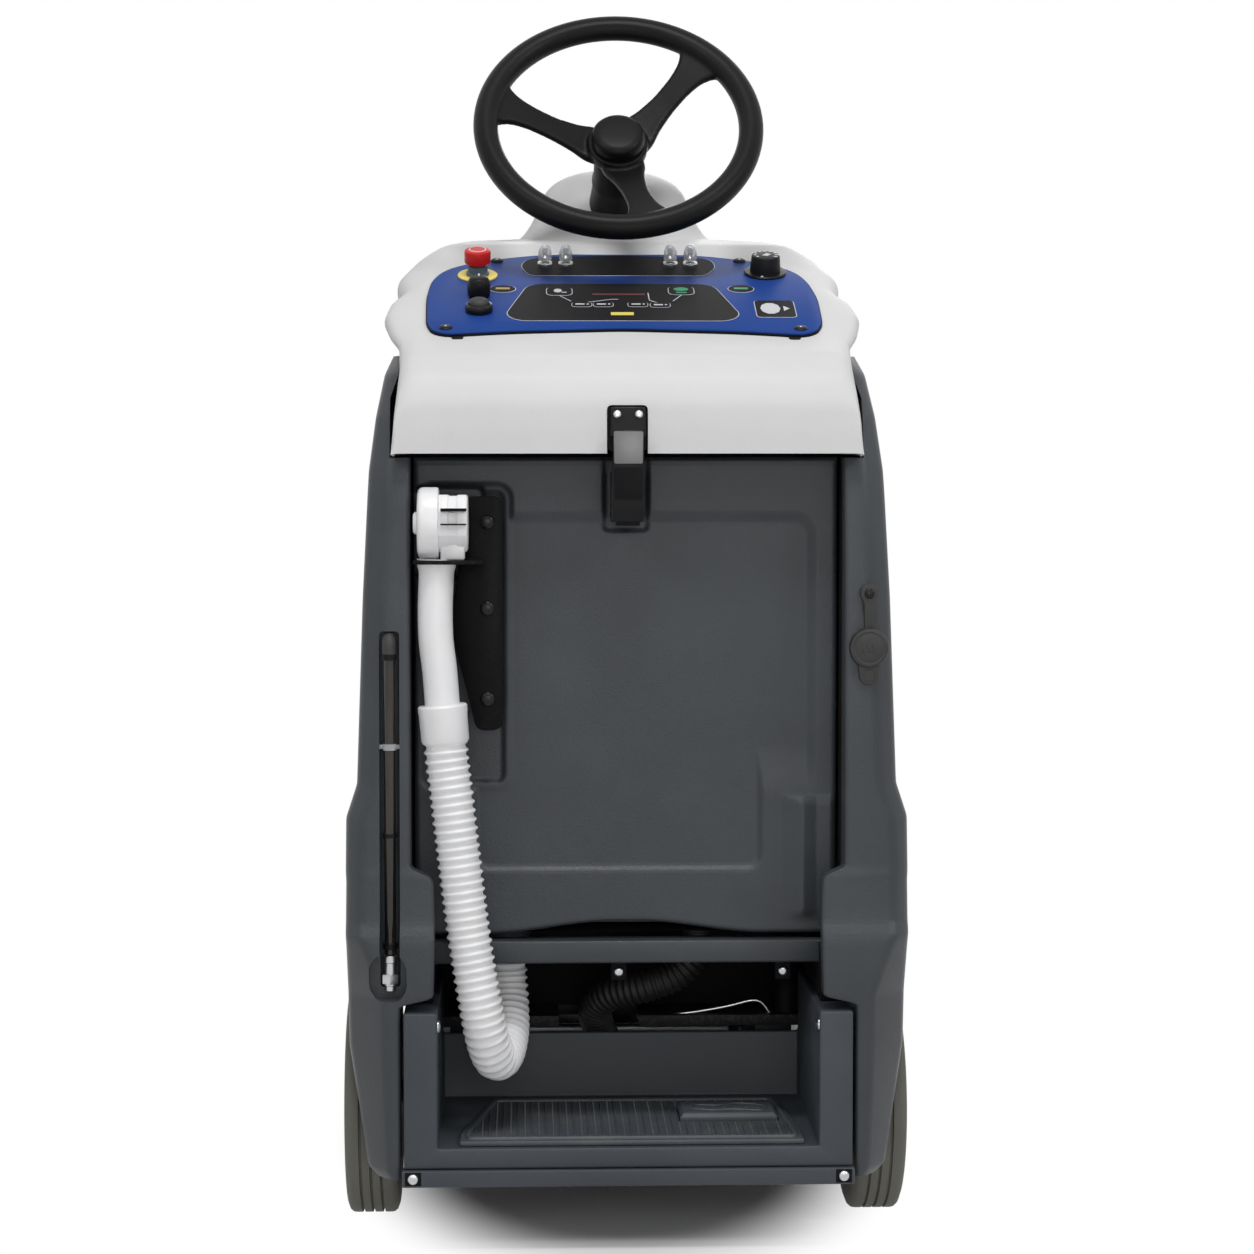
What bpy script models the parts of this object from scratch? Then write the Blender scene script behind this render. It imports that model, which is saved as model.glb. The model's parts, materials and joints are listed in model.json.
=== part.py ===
"""Stand-on floor cleaning machine as separate named pieces. Metres, +X right, +Y forward, +Z up."""

import math

import bmesh
import bpy
from mathutils import Matrix, Vector

for _old in list(bpy.data.objects):
    bpy.data.objects.remove(_old)

# Fits
GAP = 0.0003
RUN = 0.0005
SEAM = 0.001

# Overall
REAR_Y = -0.610
FRONT_Y = 0.610

# Rear wheels
TYRE_R = 0.125
TYRE_X = (0.245, 0.300)
RIM_R = 0.082
AXLE_Y = -0.420
TYRE_SEGS = 28
AXLE_Z = TYRE_R * math.cos(math.pi / TYRE_SEGS)
AXLE_R = 0.012

# Drive wheel
DRIVE_R = 0.100
DRIVE_HALF_W = 0.034
DRIVE_RIM_R = 0.066
DRIVE_Y = 0.440
DRIVE_SEGS = 24
DRIVE_Z = DRIVE_R * math.cos(math.pi / DRIVE_SEGS)
STEM_R = 0.020

# Foot tray
TRAY_IN_X = 0.199
TRAY_OUT_X = 0.234
TRAY_FLOOR_Z = 0.110
TRAY_TOP_Z = 0.252
TRAY_LOW_Z = 0.0885
TRAY_Y = (-0.605, -0.357)
TRAY_WALL = 0.006
RISER_TOP_Z = 0.183

# Side covers
COVER_WALL = 0.006
COVER_FRONT_Y = 0.0197
COLUMN_IN_X = 0.226
BLOCK_IN_X = 0.201
BLOCK_FLANGE = 0.020
ARCH_R = 1.144 * TYRE_R

# Recovery tank
TANK_HALF_W = 0.2245
TANK_REAR_Y = -0.520
TANK_FRONT_Y = -0.300
TANK_LOW_Z = 0.320
TANK_TOP_Z = 0.828
TANK_WALL = 0.007
TANK_REAR_WALL = 0.022
HINGE_Y = -0.508
HINGE_Z = 0.332
HINGE_PIN_R = 0.008
LID_Y = (-0.500, -0.384)
LID_HALF_W = 0.140
MOUTH_HALF_W = 0.118

# Dash
DASH_LOW_Z = 0.8305
DASH_WALL = 0.005
DASH_HALF_W = 0.2455
PANEL_Y = -0.490
PANEL_Z = 0.958
PANEL_SLOPE = math.atan(0.4)
PANEL_T = 0.004

# Steering
HUB_Y = -0.250
HUB_Z = 1.180
FOOT_Y = 0.04904
FOOT_Z = 0.95873
WHEEL_TILT = math.atan2(FOOT_Y - HUB_Y, HUB_Z - FOOT_Z)
RIM_MAJOR = 0.150
RIM_MINOR = 0.014
RIM_RISE = 0.035
COLUMN_R = 0.023
SHAFT_R = 0.012

# Drain hose
HOSE_R = 0.0235
HOSE_Y = -0.5742
NECK_R = 0.018
CAP_R = 0.036

# Brush deck and squeegee
DECK_Y = 0.035
DECK_R = 0.250
BRUSH_R = 0.235
DECK_REST = 0.030
SQUEEGEE_Y = -0.262
SQUEEGEE_HALF_W = 0.270

# Frame and batteries
PLATE_Z = (0.188, 0.200)
PLATE_Y = (-0.3565, 0.285)
PLATE_HALF_W = 0.222
BATTERY_SIZE = (0.196, 0.270, 0.228)

SEG = 24


def material(name, rgb, rough, metal=0.0):
    mat = bpy.data.materials.new(name)
    mat.use_nodes = True
    shader = mat.node_tree.nodes["Principled BSDF"]
    shader.inputs["Base Color"].default_value = (*rgb, 1.0)
    shader.inputs["Roughness"].default_value = rough
    shader.inputs["Metallic"].default_value = metal
    return mat


BODY = (0.062, 0.072, 0.082)
BLACK = (0.012, 0.012, 0.013)
WHITE = (0.86, 0.86, 0.87)
STEEL = (0.55, 0.56, 0.57)
PALE = (0.72, 0.73, 0.73)


def made(bm, name, rgb, rough, metal=0.0):
    bmesh.ops.remove_doubles(bm, verts=bm.verts, dist=1e-6)
    bmesh.ops.recalc_face_normals(bm, faces=bm.faces)
    bmesh.ops.triangulate(bm, faces=bm.faces)
    mesh = bpy.data.meshes.new(name)
    bm.to_mesh(mesh)
    bm.free()
    obj = bpy.data.objects.new(name, mesh)
    bpy.context.scene.collection.objects.link(obj)
    mesh.materials.append(material(name, rgb, rough, metal))
    return obj


def loft(name, rings, rgb=BODY, rough=0.5, metal=0.0, closed=False):
    """A skin through rings of equal point count, capped at both ends unless it closes on itself."""
    bm = bmesh.new()
    rows = [[bm.verts.new(p) for p in ring] for ring in rings]
    count = len(rows[0])
    pairs = list(zip(rows, rows[1:]))
    if closed:
        pairs.append((rows[-1], rows[0]))
    for low, high in pairs:
        for i in range(count):
            j = (i + 1) % count
            bm.faces.new((low[i], low[j], high[j], high[i]))
    if not closed:
        bm.faces.new(rows[0])
        bm.faces.new(rows[-1])
    return made(bm, name, rgb, rough, metal)


def box(name, low, high, rgb=BODY, rough=0.5, metal=0.0):
    ring = [(low[0], low[1]), (high[0], low[1]), (high[0], high[1]), (low[0], high[1])]
    rings = [[(x, y, z) for x, y in ring] for z in (low[2], high[2])]
    return loft(name, rings, rgb, rough, metal)


def prism(name, outline, axis, low, high, rgb=BODY, rough=0.5, metal=0.0):
    """An outline pushed along X, Y or Z. Its pairs are the other two axes in order."""
    index = "XYZ".index(axis)
    rings = []
    for at in (low, high):
        ring = []
        for pair in outline:
            point = list(pair)
            point.insert(index, at)
            ring.append(point)
        rings.append(ring)
    return loft(name, rings, rgb, rough, metal)


def frame_of(origin, direction, across=(1, 0, 0)):
    """A matrix whose Z is the direction and whose X is as near across as it can be."""
    z = Vector(direction).normalized()
    x = Vector(across)
    x = (x - x.dot(z) * z).normalized()
    y = z.cross(x)
    rot = Matrix((x, y, z)).transposed().to_4x4()
    return Matrix.Translation(Vector(origin)) @ rot


def turned(name, profile, origin, direction, rgb=BODY, rough=0.5, metal=0.0, segs=SEG, across=(1, 0, 0)):
    """A profile of (radius, height) spun round a line. It closes on the line where radius is 0."""
    place = frame_of(origin, direction, across)
    bm = bmesh.new()
    rows = []
    for r, h in profile:
        if r == 0:
            rows.append([bm.verts.new(place @ Vector((0, 0, h)))] * segs)
            continue
        row = []
        for k in range(segs):
            a = 2 * math.pi * (k + 0.5) / segs
            row.append(bm.verts.new(place @ Vector((r * math.cos(a), r * math.sin(a), h))))
        rows.append(row)
    pairs = list(zip(rows, rows[1:]))
    if profile[0][0] != 0 or profile[-1][0] != 0:
        pairs.append((rows[-1], rows[0]))
    for low, high in pairs:
        for k in range(segs):
            j = (k + 1) % segs
            corners = []
            for vert in (low[k], low[j], high[j], high[k]):
                if vert not in corners:
                    corners.append(vert)
            if len(corners) > 2:
                bm.faces.new(corners)
    return made(bm, name, rgb, rough, metal)


def rod(name, start, end, r, rgb=BODY, rough=0.5, metal=0.0, segs=SEG):
    start = Vector(start)
    way = Vector(end) - start
    across = (1, 0, 0) if abs(way.normalized().x) < 0.9 else (0, 1, 0)
    profile = [(0, 0), (r, 0), (r, way.length), (0, way.length)]
    return turned(name, profile, start, way, rgb, rough, metal, segs, across)


def joined(target, tool, operation):
    mod = target.modifiers.new("join", "BOOLEAN")
    mod.operation = operation
    mod.solver = "EXACT"
    mod.object = tool
    graph = bpy.context.evaluated_depsgraph_get()
    mesh = bpy.data.meshes.new_from_object(target.evaluated_get(graph))
    target.modifiers.clear()
    old = target.data
    target.data = mesh
    mesh.name = target.name
    bpy.data.meshes.remove(old)
    bpy.data.objects.remove(tool)
    return target


def fuse(target, *tools):
    for tool in tools:
        joined(target, tool, "UNION")
    return target


def cut(target, *tools):
    for tool in tools:
        joined(target, tool, "DIFFERENCE")
    return target


def smooth_path(points, spacing):
    """Points along a Catmull-Rom curve through the given ones, close to even spacing."""
    pts = [Vector(p) for p in points]
    pts = [2 * pts[0] - pts[1]] + pts + [2 * pts[-1] - pts[-2]]
    fine = []
    for a, b, c, d in zip(pts, pts[1:], pts[2:], pts[3:]):
        for k in range(12):
            t = k / 12
            fine.append(
                0.5
                * (
                    2 * b
                    + (c - a) * t
                    + (2 * a - 5 * b + 4 * c - d) * t**2
                    + (3 * b - a - 3 * c + d) * t**3
                )
            )
    fine.append(pts[-2])
    total = sum((q - p).length for p, q in zip(fine, fine[1:]))
    count = max(2, round(total / spacing))
    out = [fine[0]]
    run = 0.0
    want = total / count
    for p, q in zip(fine, fine[1:]):
        step = (q - p).length
        while run + step >= want - 1e-9 and len(out) < count:
            out.append(p.lerp(q, (want - run) / step))
            want += total / count
        run += step
    out.append(fine[-1])
    return out


def cord(name, points, r, spacing, rgb, rough):
    """A poly tube with filled ends, whose path is kept as its curve points."""
    curve = bpy.data.curves.new(name, "CURVE")
    curve.dimensions = "3D"
    curve.bevel_depth = r
    curve.bevel_resolution = 2
    curve.use_fill_caps = True
    spline = curve.splines.new("POLY")
    path = smooth_path(points, spacing)
    spline.points.add(len(path) - 1)
    for point, at in zip(spline.points, path):
        point.co = (*at, 1.0)
    obj = bpy.data.objects.new(name, curve)
    bpy.context.scene.collection.objects.link(obj)
    curve.materials.append(material(name, rgb, rough))
    return obj


# ---------------------------------------------------------------- side covers
# z, outer x, inner x, rear y, how far the rear wall reaches forward
COVER_LEVELS = (
    (0.076, 0.262, 0.2375, -0.598, 0.040),
    (0.084, 0.2735, 0.2375, -0.600, 0.040),
    (0.210, 0.2930, 0.2375, -0.600, 0.040),
    (0.2612, 0.2935, 0.2375, -0.600, 0.040),
    (0.2624, BLOCK_IN_X, BLOCK_IN_X, -0.600, 0.040),
    (0.372, BLOCK_IN_X, BLOCK_IN_X, -0.600, 0.040),
    (0.388, 0.2945, 0.203, -0.594, 0.036),
    (0.398, 0.2950, 0.215, -0.588, 0.032),
    (0.402, 0.2950, COLUMN_IN_X, -0.586, 0.030),
    (0.436, 0.2950, COLUMN_IN_X, -0.585, 0.030),
    (0.452, 0.2945, COLUMN_IN_X, -0.585, 0.030),
    (0.487, 0.2830, COLUMN_IN_X, -0.584, 0.030),
    (0.680, 0.2765, COLUMN_IN_X, -0.577, 0.028),
    (0.814, 0.2700, COLUMN_IN_X, -0.564, 0.026),
    (0.870, 0.2630, COLUMN_IN_X, -0.550, 0.024),
    (0.915, 0.2545, COLUMN_IN_X, -0.525, 0.022),
    (0.935, 0.2465, COLUMN_IN_X, -0.490, 0.020),
)


def cover_ring(side, level):
    z, outer, inner, rear, deep = level
    if outer == BLOCK_IN_X:
        outer = 0.2940
    wall_x = max(inner + 0.0004, COLUMN_IN_X + 0.0004)
    c = 0.014
    t = COVER_WALL
    outline = (
        (outer, COVER_FRONT_Y),
        (outer, rear + c),
        (outer - 0.3 * c, rear + 0.3 * c),
        (outer - c, rear),
        (inner + 0.006, rear),
        (inner, rear + 0.006),
        (inner, rear + BLOCK_FLANGE),
        (wall_x, rear + BLOCK_FLANGE + 0.0002),
        (wall_x, -0.480),
        (wall_x + t, -0.480),
        (wall_x + t, rear + deep),
        (outer - t - 0.004, rear + deep),
        (outer - t, rear + deep + 0.004),
        (outer - t, COVER_FRONT_Y),
    )
    return [(side * x, y, z) for x, y in outline]


def side_cover(name, side):
    cover = loft(name, [cover_ring(side, level) for level in COVER_LEVELS], BODY, 0.55)
    lane = ((0.190, 0.8275), (0.2475, 0.8275), (0.2475, 0.890), (0.2390, 0.915), (0.2390, 1.0), (0.190, 1.0))
    cut(cover, prism("t", [(side * x, z) for x, z in lane], "Y", -0.70, 0.10))
    cut(cover, rod("t", (side * 0.2358, AXLE_Y, AXLE_Z), (side * 0.32, AXLE_Y, AXLE_Z), ARCH_R, segs=32))
    cut(cover, box("t", (min(side * 0.22, side * 0.32), -0.300, 0.0), (max(side * 0.22, side * 0.32), 0.1, 0.150)))
    return cover


GROOVE_X = -0.248
GROOVE_Y = -0.5725
PORT = (0.251, -0.5785, 0.630)
PORT_R = 0.0170

left = side_cover("side_cover_left", -1)
cut(left, box("t", (GROOVE_X - 0.0105, -0.65, 0.276), (GROOVE_X + 0.0105, GROOVE_Y, 0.648)))
cut(left, box("t", (GROOVE_X - 0.0150, -0.65, 0.268), (GROOVE_X + 0.0150, GROOVE_Y, 0.318)))
right = side_cover("side_cover_right", 1)
for cover, s in ((left, -1), (right, 1)):
    pin = rod("t", (s * 0.2200, HINGE_Y, HINGE_Z), (s * 0.2400, HINGE_Y, HINGE_Z), HINGE_PIN_R + RUN, segs=16)
    cut(cover, pin)
cut(right, rod("t", (PORT[0], -0.65, PORT[2]), (PORT[0], -0.5590, PORT[2]), PORT_R, segs=20))

# ---------------------------------------------------------------- level tube on the left column
TUBE_R = 0.0060
TUBE_Y = GROOVE_Y - TUBE_R - GAP
rod("level_tube", (GROOVE_X, TUBE_Y, 0.3105), (GROOVE_X, TUBE_Y, 0.6260), TUBE_R, (0.10, 0.08, 0.05), 0.15, segs=12)
VALVE = [
    (0, 0.0), (0.0055, 0.0), (0.0055, 0.006), (0.0090, 0.008), (0.0090, 0.018),
    (0.0062, 0.020), (0.0062, 0.030), (0.0072, 0.031), (0.0072, 0.0375), (0, 0.0375),
]
turned("level_valve", VALVE, (GROOVE_X, GROOVE_Y - 0.0093, 0.2725), (0, 0, 1), STEEL, 0.25, 1.0, 12)

# ---------------------------------------------------------------- charging port on the right column
SOCKET_FACE_Y = PORT[1]
SOCKET = [(0, 0.0), (PORT_R - GAP, 0.0), (PORT_R - GAP, 0.0187), (0.0125, 0.0187), (0.0125, 0.0080), (0, 0.0080)]
turned("charge_socket", SOCKET, (PORT[0], SOCKET_FACE_Y + 0.0190, PORT[2]), (0, -1, 0), BLACK, 0.6, segs=20)
cap_back = -0.5802
cap = rod("port_cap", (PORT[0], cap_back, PORT[2]), (PORT[0], cap_back - 0.0085, PORT[2]), 0.0205, BLACK, 0.6)
strap = [(0.0045, 0.018), (0.0055, 0.050), (0.0095, 0.052), (0.0095, 0.063), (0.0050, 0.067)]
strap = [(PORT[0] + x, PORT[2] + z) for x, z in strap] + [(PORT[0] - x, PORT[2] + z) for x, z in reversed(strap)]
fuse(cap, prism("t", strap, "Y", cap_back - 0.0048, cap_back - 0.0002))
pull = [(0.0115, -0.014), (0.0100, -0.033), (0.0055, -0.0385)]
pull = [(PORT[0] + x, PORT[2] + z) for x, z in pull] + [(PORT[0] - x, PORT[2] + z) for x, z in reversed(pull)]
fuse(cap, prism("t", pull, "Y", cap_back - 0.0062, cap_back - 0.0002))

# ---------------------------------------------------------------- foot tray, mat, pedal, bumper
tray = box("foot_tray", (-TRAY_OUT_X, TRAY_Y[0], TRAY_LOW_Z), (TRAY_OUT_X, TRAY_Y[1], TRAY_TOP_Z), BODY, 0.5)
cut(tray, box("t", (-TRAY_IN_X, -0.7, TRAY_FLOOR_Z), (TRAY_IN_X, TRAY_Y[1] - TRAY_WALL, 0.3)))
cut(tray, box("t", (-TRAY_IN_X, -0.7, RISER_TOP_Z), (TRAY_IN_X, -0.3, 0.3)))
for s in (-1, 1):
    lo, hi = sorted((s * (TRAY_IN_X + TRAY_WALL), s * (TRAY_OUT_X - TRAY_WALL)))
    cut(tray, box("t", (lo, TRAY_Y[0] + TRAY_WALL, 0.0), (hi, TRAY_Y[1] - TRAY_WALL, TRAY_TOP_Z - TRAY_WALL)))
cut(
    tray,
    box(
        "t",
        (-TRAY_IN_X + 0.004, TRAY_Y[0] + TRAY_WALL, 0.0),
        (TRAY_IN_X - 0.004, TRAY_Y[1] - TRAY_WALL, TRAY_FLOOR_Z - TRAY_WALL),
    ),
)

PEDAL_X = (0.0585, 0.1635)
PEDAL_Y = (-0.5130, -0.4540)
MAT_TOP_Z = 0.1160
mat_outline = ((-0.176, -0.597), (0.184, -0.597), (0.184, -0.560), (0.171, -0.405), (-0.146, -0.405), (-0.176, -0.560))
mat_piece = prism("foot_mat", mat_outline, "Z", TRAY_FLOOR_Z + GAP, MAT_TOP_Z, BLACK, 0.8)
cut(mat_piece, box("t", (PEDAL_X[0] - RUN, PEDAL_Y[0] - RUN, 0), (PEDAL_X[1] + RUN, PEDAL_Y[1] + RUN, 0.2)))
PEDAL_TRAVEL = 0.004
PEDAL_LOW = TRAY_FLOOR_Z + PEDAL_TRAVEL + GAP
pedal_ring = ((PEDAL_X[0], PEDAL_Y[0]), (PEDAL_X[1], PEDAL_Y[0]), (PEDAL_X[1], PEDAL_Y[1]), (PEDAL_X[0], PEDAL_Y[1]))
pedal_rings = [
    [(x, y, PEDAL_LOW) for x, y in pedal_ring],
    [(x, y, 0.1205) for x, y in pedal_ring],
    [(x + (0.004 if x < 0.1 else -0.004), y + (0.004 if y < -0.48 else -0.004), 0.1245) for x, y in pedal_ring],
]
loft("presence_pedal", pedal_rings, BLACK, 0.6)

bumper_outline = ((-0.610, 0.0705), (-0.596, 0.0705), (-0.596, 0.0785), (-0.590, 0.0880), (-0.610, 0.0880))
prism("rear_bumper", bumper_outline, "X", -0.236, 0.236, BODY, 0.5)

# ---------------------------------------------------------------- frame
frame_piece = box(
    "chassis_frame", (-PLATE_HALF_W, PLATE_Y[0], PLATE_Z[0]), (PLATE_HALF_W, PLATE_Y[1], PLATE_Z[1]), BLACK, 0.6
)
TOP_PLATE_Z = (0.360, 0.372)
fuse(
    frame_piece,
    box("t", (-0.128, 0.273, 0.190), (0.128, 0.285, 0.371)),
    box("t", (-0.128, 0.273, TOP_PLATE_Z[0]), (0.128, 0.562, TOP_PLATE_Z[1])),
)
for s in (-1, 1):
    lo, hi = sorted((s * 0.152, s * 0.192))
    fuse(frame_piece, box("t", (lo, PLATE_Y[0], 0.158), (hi, 0.240, 0.190)))
    lo, hi = sorted((s * 0.1520, s * 0.1600))
    fuse(frame_piece, box("t", (lo, -0.168, 0.130), (hi, -0.132, 0.160)))
    lo, hi = sorted((s * 0.215, s * 0.2832))
    fuse(frame_piece, box("t", (lo, -0.110, 0.1885), (hi, -0.050, 0.1995)))
cut(frame_piece, box("t", (-0.070, -0.40, 0.1), (0.020, -0.288, 0.25)))
cut(frame_piece, rod("t", (0, DRIVE_Y, 0.3), (0, DRIVE_Y, 0.4), STEM_R + RUN))
GUIDE_X = 0.172
GUIDE_R = 0.008
for s in (-1, 1):
    cut(frame_piece, rod("t", (s * GUIDE_X, DECK_Y, 0.14), (s * GUIDE_X, DECK_Y, 0.22), GUIDE_R + RUN, segs=12))

# ---------------------------------------------------------------- cross beam under the tank
box("cross_beam", (-COLUMN_IN_X + 0.0001, -0.531, 0.2905), (COLUMN_IN_X - 0.0001, -0.500, 0.3150), BODY, 0.5)

# ---------------------------------------------------------------- wheels
TYRE = [
    (RIM_R + GAP, 0.0065), (0.104, 0.0015), (0.1165, 0.0), (0.1222, 0.0025), (TYRE_R, 0.0080),
    (TYRE_R, 0.0470), (0.1222, 0.0525), (0.1165, 0.0550), (0.104, 0.0535), (RIM_R + GAP, 0.0485),
]
RIM = [
    (AXLE_R + RUN, 0.004), (0.026, 0.004), (0.028, 0.018), (0.070, 0.020), (0.073, 0.008), (RIM_R, 0.007),
    (RIM_R, 0.048), (0.073, 0.047), (0.070, 0.032), (0.028, 0.034), (0.026, 0.054), (AXLE_R + RUN, 0.054),
]
AXLE = [
    (0, -0.0107), (0.032, -0.0107), (0.032, -0.0065), (0.019, -0.0040), (0.019, 0.0035), (AXLE_R, 0.0035),
    (AXLE_R, 0.0545), (0.0175, 0.0545), (0.0175, 0.0590), (0, 0.0590),
]
for side, word in ((-1, "left"), (1, "right")):
    hub = (side * TYRE_X[0], AXLE_Y, AXLE_Z)
    way = (side, 0, 0)
    turned("tyre_" + word, TYRE, hub, way, (0.03, 0.03, 0.028), 0.85, segs=TYRE_SEGS, across=(0, 1, 0))
    turned("rim_" + word, RIM, hub, way, (0.30, 0.31, 0.32), 0.5, segs=TYRE_SEGS, across=(0, 1, 0))
    turned("axle_" + word, AXLE, hub, way, STEEL, 0.35, 1.0, 20, (0, 1, 0))

DRIVE_TYRE = [
    (DRIVE_RIM_R + GAP, -0.028), (0.092, -DRIVE_HALF_W), (DRIVE_R, -0.028),
    (DRIVE_R, 0.028), (0.092, DRIVE_HALF_W), (DRIVE_RIM_R + GAP, 0.028),
]
DRIVE_RIM = [
    (AXLE_R + RUN, -0.036), (0.024, -0.036), (0.026, -0.010), (0.056, -0.010), (0.058, -0.027), (DRIVE_RIM_R, -0.027),
    (DRIVE_RIM_R, 0.027), (0.058, 0.027), (0.056, 0.010), (0.026, 0.010), (0.024, 0.036), (AXLE_R + RUN, 0.036),
]
drive_hub = (0, DRIVE_Y, DRIVE_Z)
turned("drive_tyre", DRIVE_TYRE, drive_hub, (1, 0, 0), (0.03, 0.03, 0.03), 0.85, segs=DRIVE_SEGS, across=(0, 1, 0))
turned("drive_rim", DRIVE_RIM, drive_hub, (1, 0, 0), (0.30, 0.31, 0.32), 0.5, segs=DRIVE_SEGS, across=(0, 1, 0))
fork = box("drive_fork", (-0.062, DRIVE_Y - 0.045, 0.226), (0.062, DRIVE_Y + 0.045, 0.240), BLACK, 0.5)
for s in (-1, 1):
    lo, hi = sorted((s * 0.050, s * 0.062))
    arm = ((DRIVE_Y - 0.045, 0.230), (DRIVE_Y - 0.022, 0.076), (DRIVE_Y + 0.022, 0.076), (DRIVE_Y + 0.045, 0.230))
    fuse(fork, prism("t", arm, "X", lo, hi))
fuse(fork, rod("t", (-0.058, DRIVE_Y, DRIVE_Z), (0.058, DRIVE_Y, DRIVE_Z), AXLE_R, segs=16))
STEM = [(0, -0.004), (0.045, -0.004), (0.045, 0.116), (STEM_R, 0.1192), (STEM_R, 0.1400), (0, 0.1400)]
fuse(fork, turned("t", STEM, (0, DRIVE_Y, 0.240), (0, 0, 1)))

# ---------------------------------------------------------------- front body and solution tank
# y, half width factor, low z, top z
NOSE_STATIONS = (
    (0.0205, 1.000, 0.2050, 0.930),
    (0.160, 1.000, 0.2050, 0.930),
    (0.340, 0.992, 0.2050, 0.880),
    (0.480, 0.960, 0.2100, 0.800),
    (0.560, 0.900, 0.2200, 0.715),
    (0.598, 0.800, 0.2400, 0.630),
    (FRONT_Y, 0.690, 0.2700, 0.540),
)


def nose_ring(y, factor, low, top, inset):
    def at(width, z):
        return (width * factor - inset, z)

    span = top - low
    half = [
        at(0.288, low - 2 * inset),
        at(0.284, low + 0.35 * span),
        at(0.271, low + 0.82 * span - inset),
        at(0.262, low + 0.93 * span - inset),
        at(0.235, top - inset),
    ]
    return [(x, y, z) for x, z in half] + [(-x, y, z) for x, z in reversed(half)]


nose = loft("front_body", [nose_ring(*s, 0.0) for s in NOSE_STATIONS], BODY, 0.55)
inner_stations = []
for y, factor, low, top in NOSE_STATIONS:
    shift = -0.03 if y < 0.1 else (0.0 if y < 0.4 else -0.006)
    inner_stations.append(nose_ring(y + shift, factor, low - 0.02, top, 0.006))
cut(nose, loft("t", inner_stations))

SOLUTION_Y = (0.062, 0.520)
solution_ring = [(-0.235, 0.402), (0.235, 0.402), (0.243, 0.420), (0.238, 0.740), (0.215, 0.765)]
solution_ring += [(-0.215, 0.765), (-0.238, 0.740), (-0.243, 0.420)]
solution = prism("solution_tank", solution_ring, "Y", SOLUTION_Y[0], SOLUTION_Y[1], (0.5, 0.5, 0.48), 0.5)
slope = ((0.36, 0.80), (0.60, 0.80), (0.60, 0.52))
cut(solution, prism("t", slope, "X", -0.3, 0.3))
foot = box("t", (-0.110, 0.30, 0.3723), (0.110, 0.41, 0.405))
cut(foot, rod("t", (0, DRIVE_Y, 0.37), (0, DRIVE_Y, 0.42), 0.050))
fuse(solution, foot)

VAC_Z = 0.610
VAC = [(0, 0.0), (0.062, 0.0), (0.078, 0.008), (0.078, 0.060), (0.060, 0.066), (0.060, 0.125), (0.050, 0.134), (0, 0.134)]
turned("vacuum_motor", VAC, (0, SOLUTION_Y[0] - GAP, VAC_Z), (0, -1, 0), BLACK, 0.5)

# ---------------------------------------------------------------- batteries
for side, word in ((-1, "left"), (1, "right")):
    lo, hi = sorted((side * 0.003, side * (0.003 + BATTERY_SIZE[0])))
    y0 = -0.283
    top = PLATE_Z[1] + GAP + BATTERY_SIZE[2]
    case = box("battery_" + word, (lo, y0, PLATE_Z[1] + GAP), (hi, y0 + BATTERY_SIZE[1], top), BLACK, 0.6)
    for y in (y0 + 0.035, y0 + BATTERY_SIZE[1] - 0.035):
        fuse(case, rod("t", (side * 0.055, y, top - 0.002), (side * 0.055, y, top + 0.016), 0.0085, segs=12))

# ---------------------------------------------------------------- recovery tank
EDGE = 0.012
corner = []
for k in range(5):
    a = math.radians(180 + 22.5 * k)
    corner.append((HINGE_Y + EDGE * math.cos(a), HINGE_Z + EDGE * math.sin(a)))
tank_side = corner + [
    (-0.320, TANK_LOW_Z), (TANK_FRONT_Y, 0.340), (TANK_FRONT_Y, 0.770), (-0.312, 0.786), (-0.378, 0.8125),
    (-0.5035, 0.8125), (-0.5035, TANK_TOP_Z), (-0.516, TANK_TOP_Z), (TANK_REAR_Y, 0.823),
]
tank = prism("recovery_tank", tank_side, "X", -TANK_HALF_W, TANK_HALF_W, BODY, 0.5)
cavity_side = (
    (TANK_REAR_Y + TANK_REAR_WALL, 0.330), (-0.324, 0.330), (TANK_FRONT_Y - TANK_WALL, 0.346),
    (TANK_FRONT_Y - TANK_WALL, 0.763), (-0.318, 0.778), (-0.380, 0.8045), (TANK_REAR_Y + TANK_REAR_WALL, 0.8045),
)
cut(tank, prism("t", cavity_side, "X", -TANK_HALF_W + TANK_WALL, TANK_HALF_W - TANK_WALL))
cut(tank, box("t", (-MOUTH_HALF_W, -0.492, 0.78), (MOUTH_HALF_W, -0.404, 0.85)))
for s in (-1, 1):
    fuse(tank, rod("t", (s * (TANK_HALF_W - 0.0025), HINGE_Y, HINGE_Z), (s * 0.2385, HINGE_Y, HINGE_Z), HINGE_PIN_R, segs=16))
RECESS_DEPTH = 0.009
hose_recess = ((-0.215, 0.803), (-0.135, 0.803), (-0.120, 0.789), (-0.120, 0.494), (-0.135, 0.480), (-0.215, 0.480))
cut(tank, prism("t", hose_recess, "Y", -0.6, TANK_REAR_Y + RECESS_DEPTH))
latch_recess = ((-0.0215, 0.84), (0.0215, 0.84), (0.0215, 0.760), (0.0170, 0.753), (-0.0170, 0.753), (-0.0215, 0.760))
cut(tank, prism("t", latch_recess, "Y", -0.6, TANK_REAR_Y + 0.008))

LID_T = 0.0062
lid_low = 0.8125 + GAP
lid_outline = ((LID_Y[0], lid_low), (LID_Y[1], lid_low), (LID_Y[1], lid_low + 0.003), (-0.392, lid_low + LID_T))
lid_outline += ((LID_Y[0] + 0.004, lid_low + LID_T), (LID_Y[0], lid_low + 0.0045))
prism("tank_lid", lid_outline, "X", -LID_HALF_W, LID_HALF_W, BLACK, 0.5)

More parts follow.
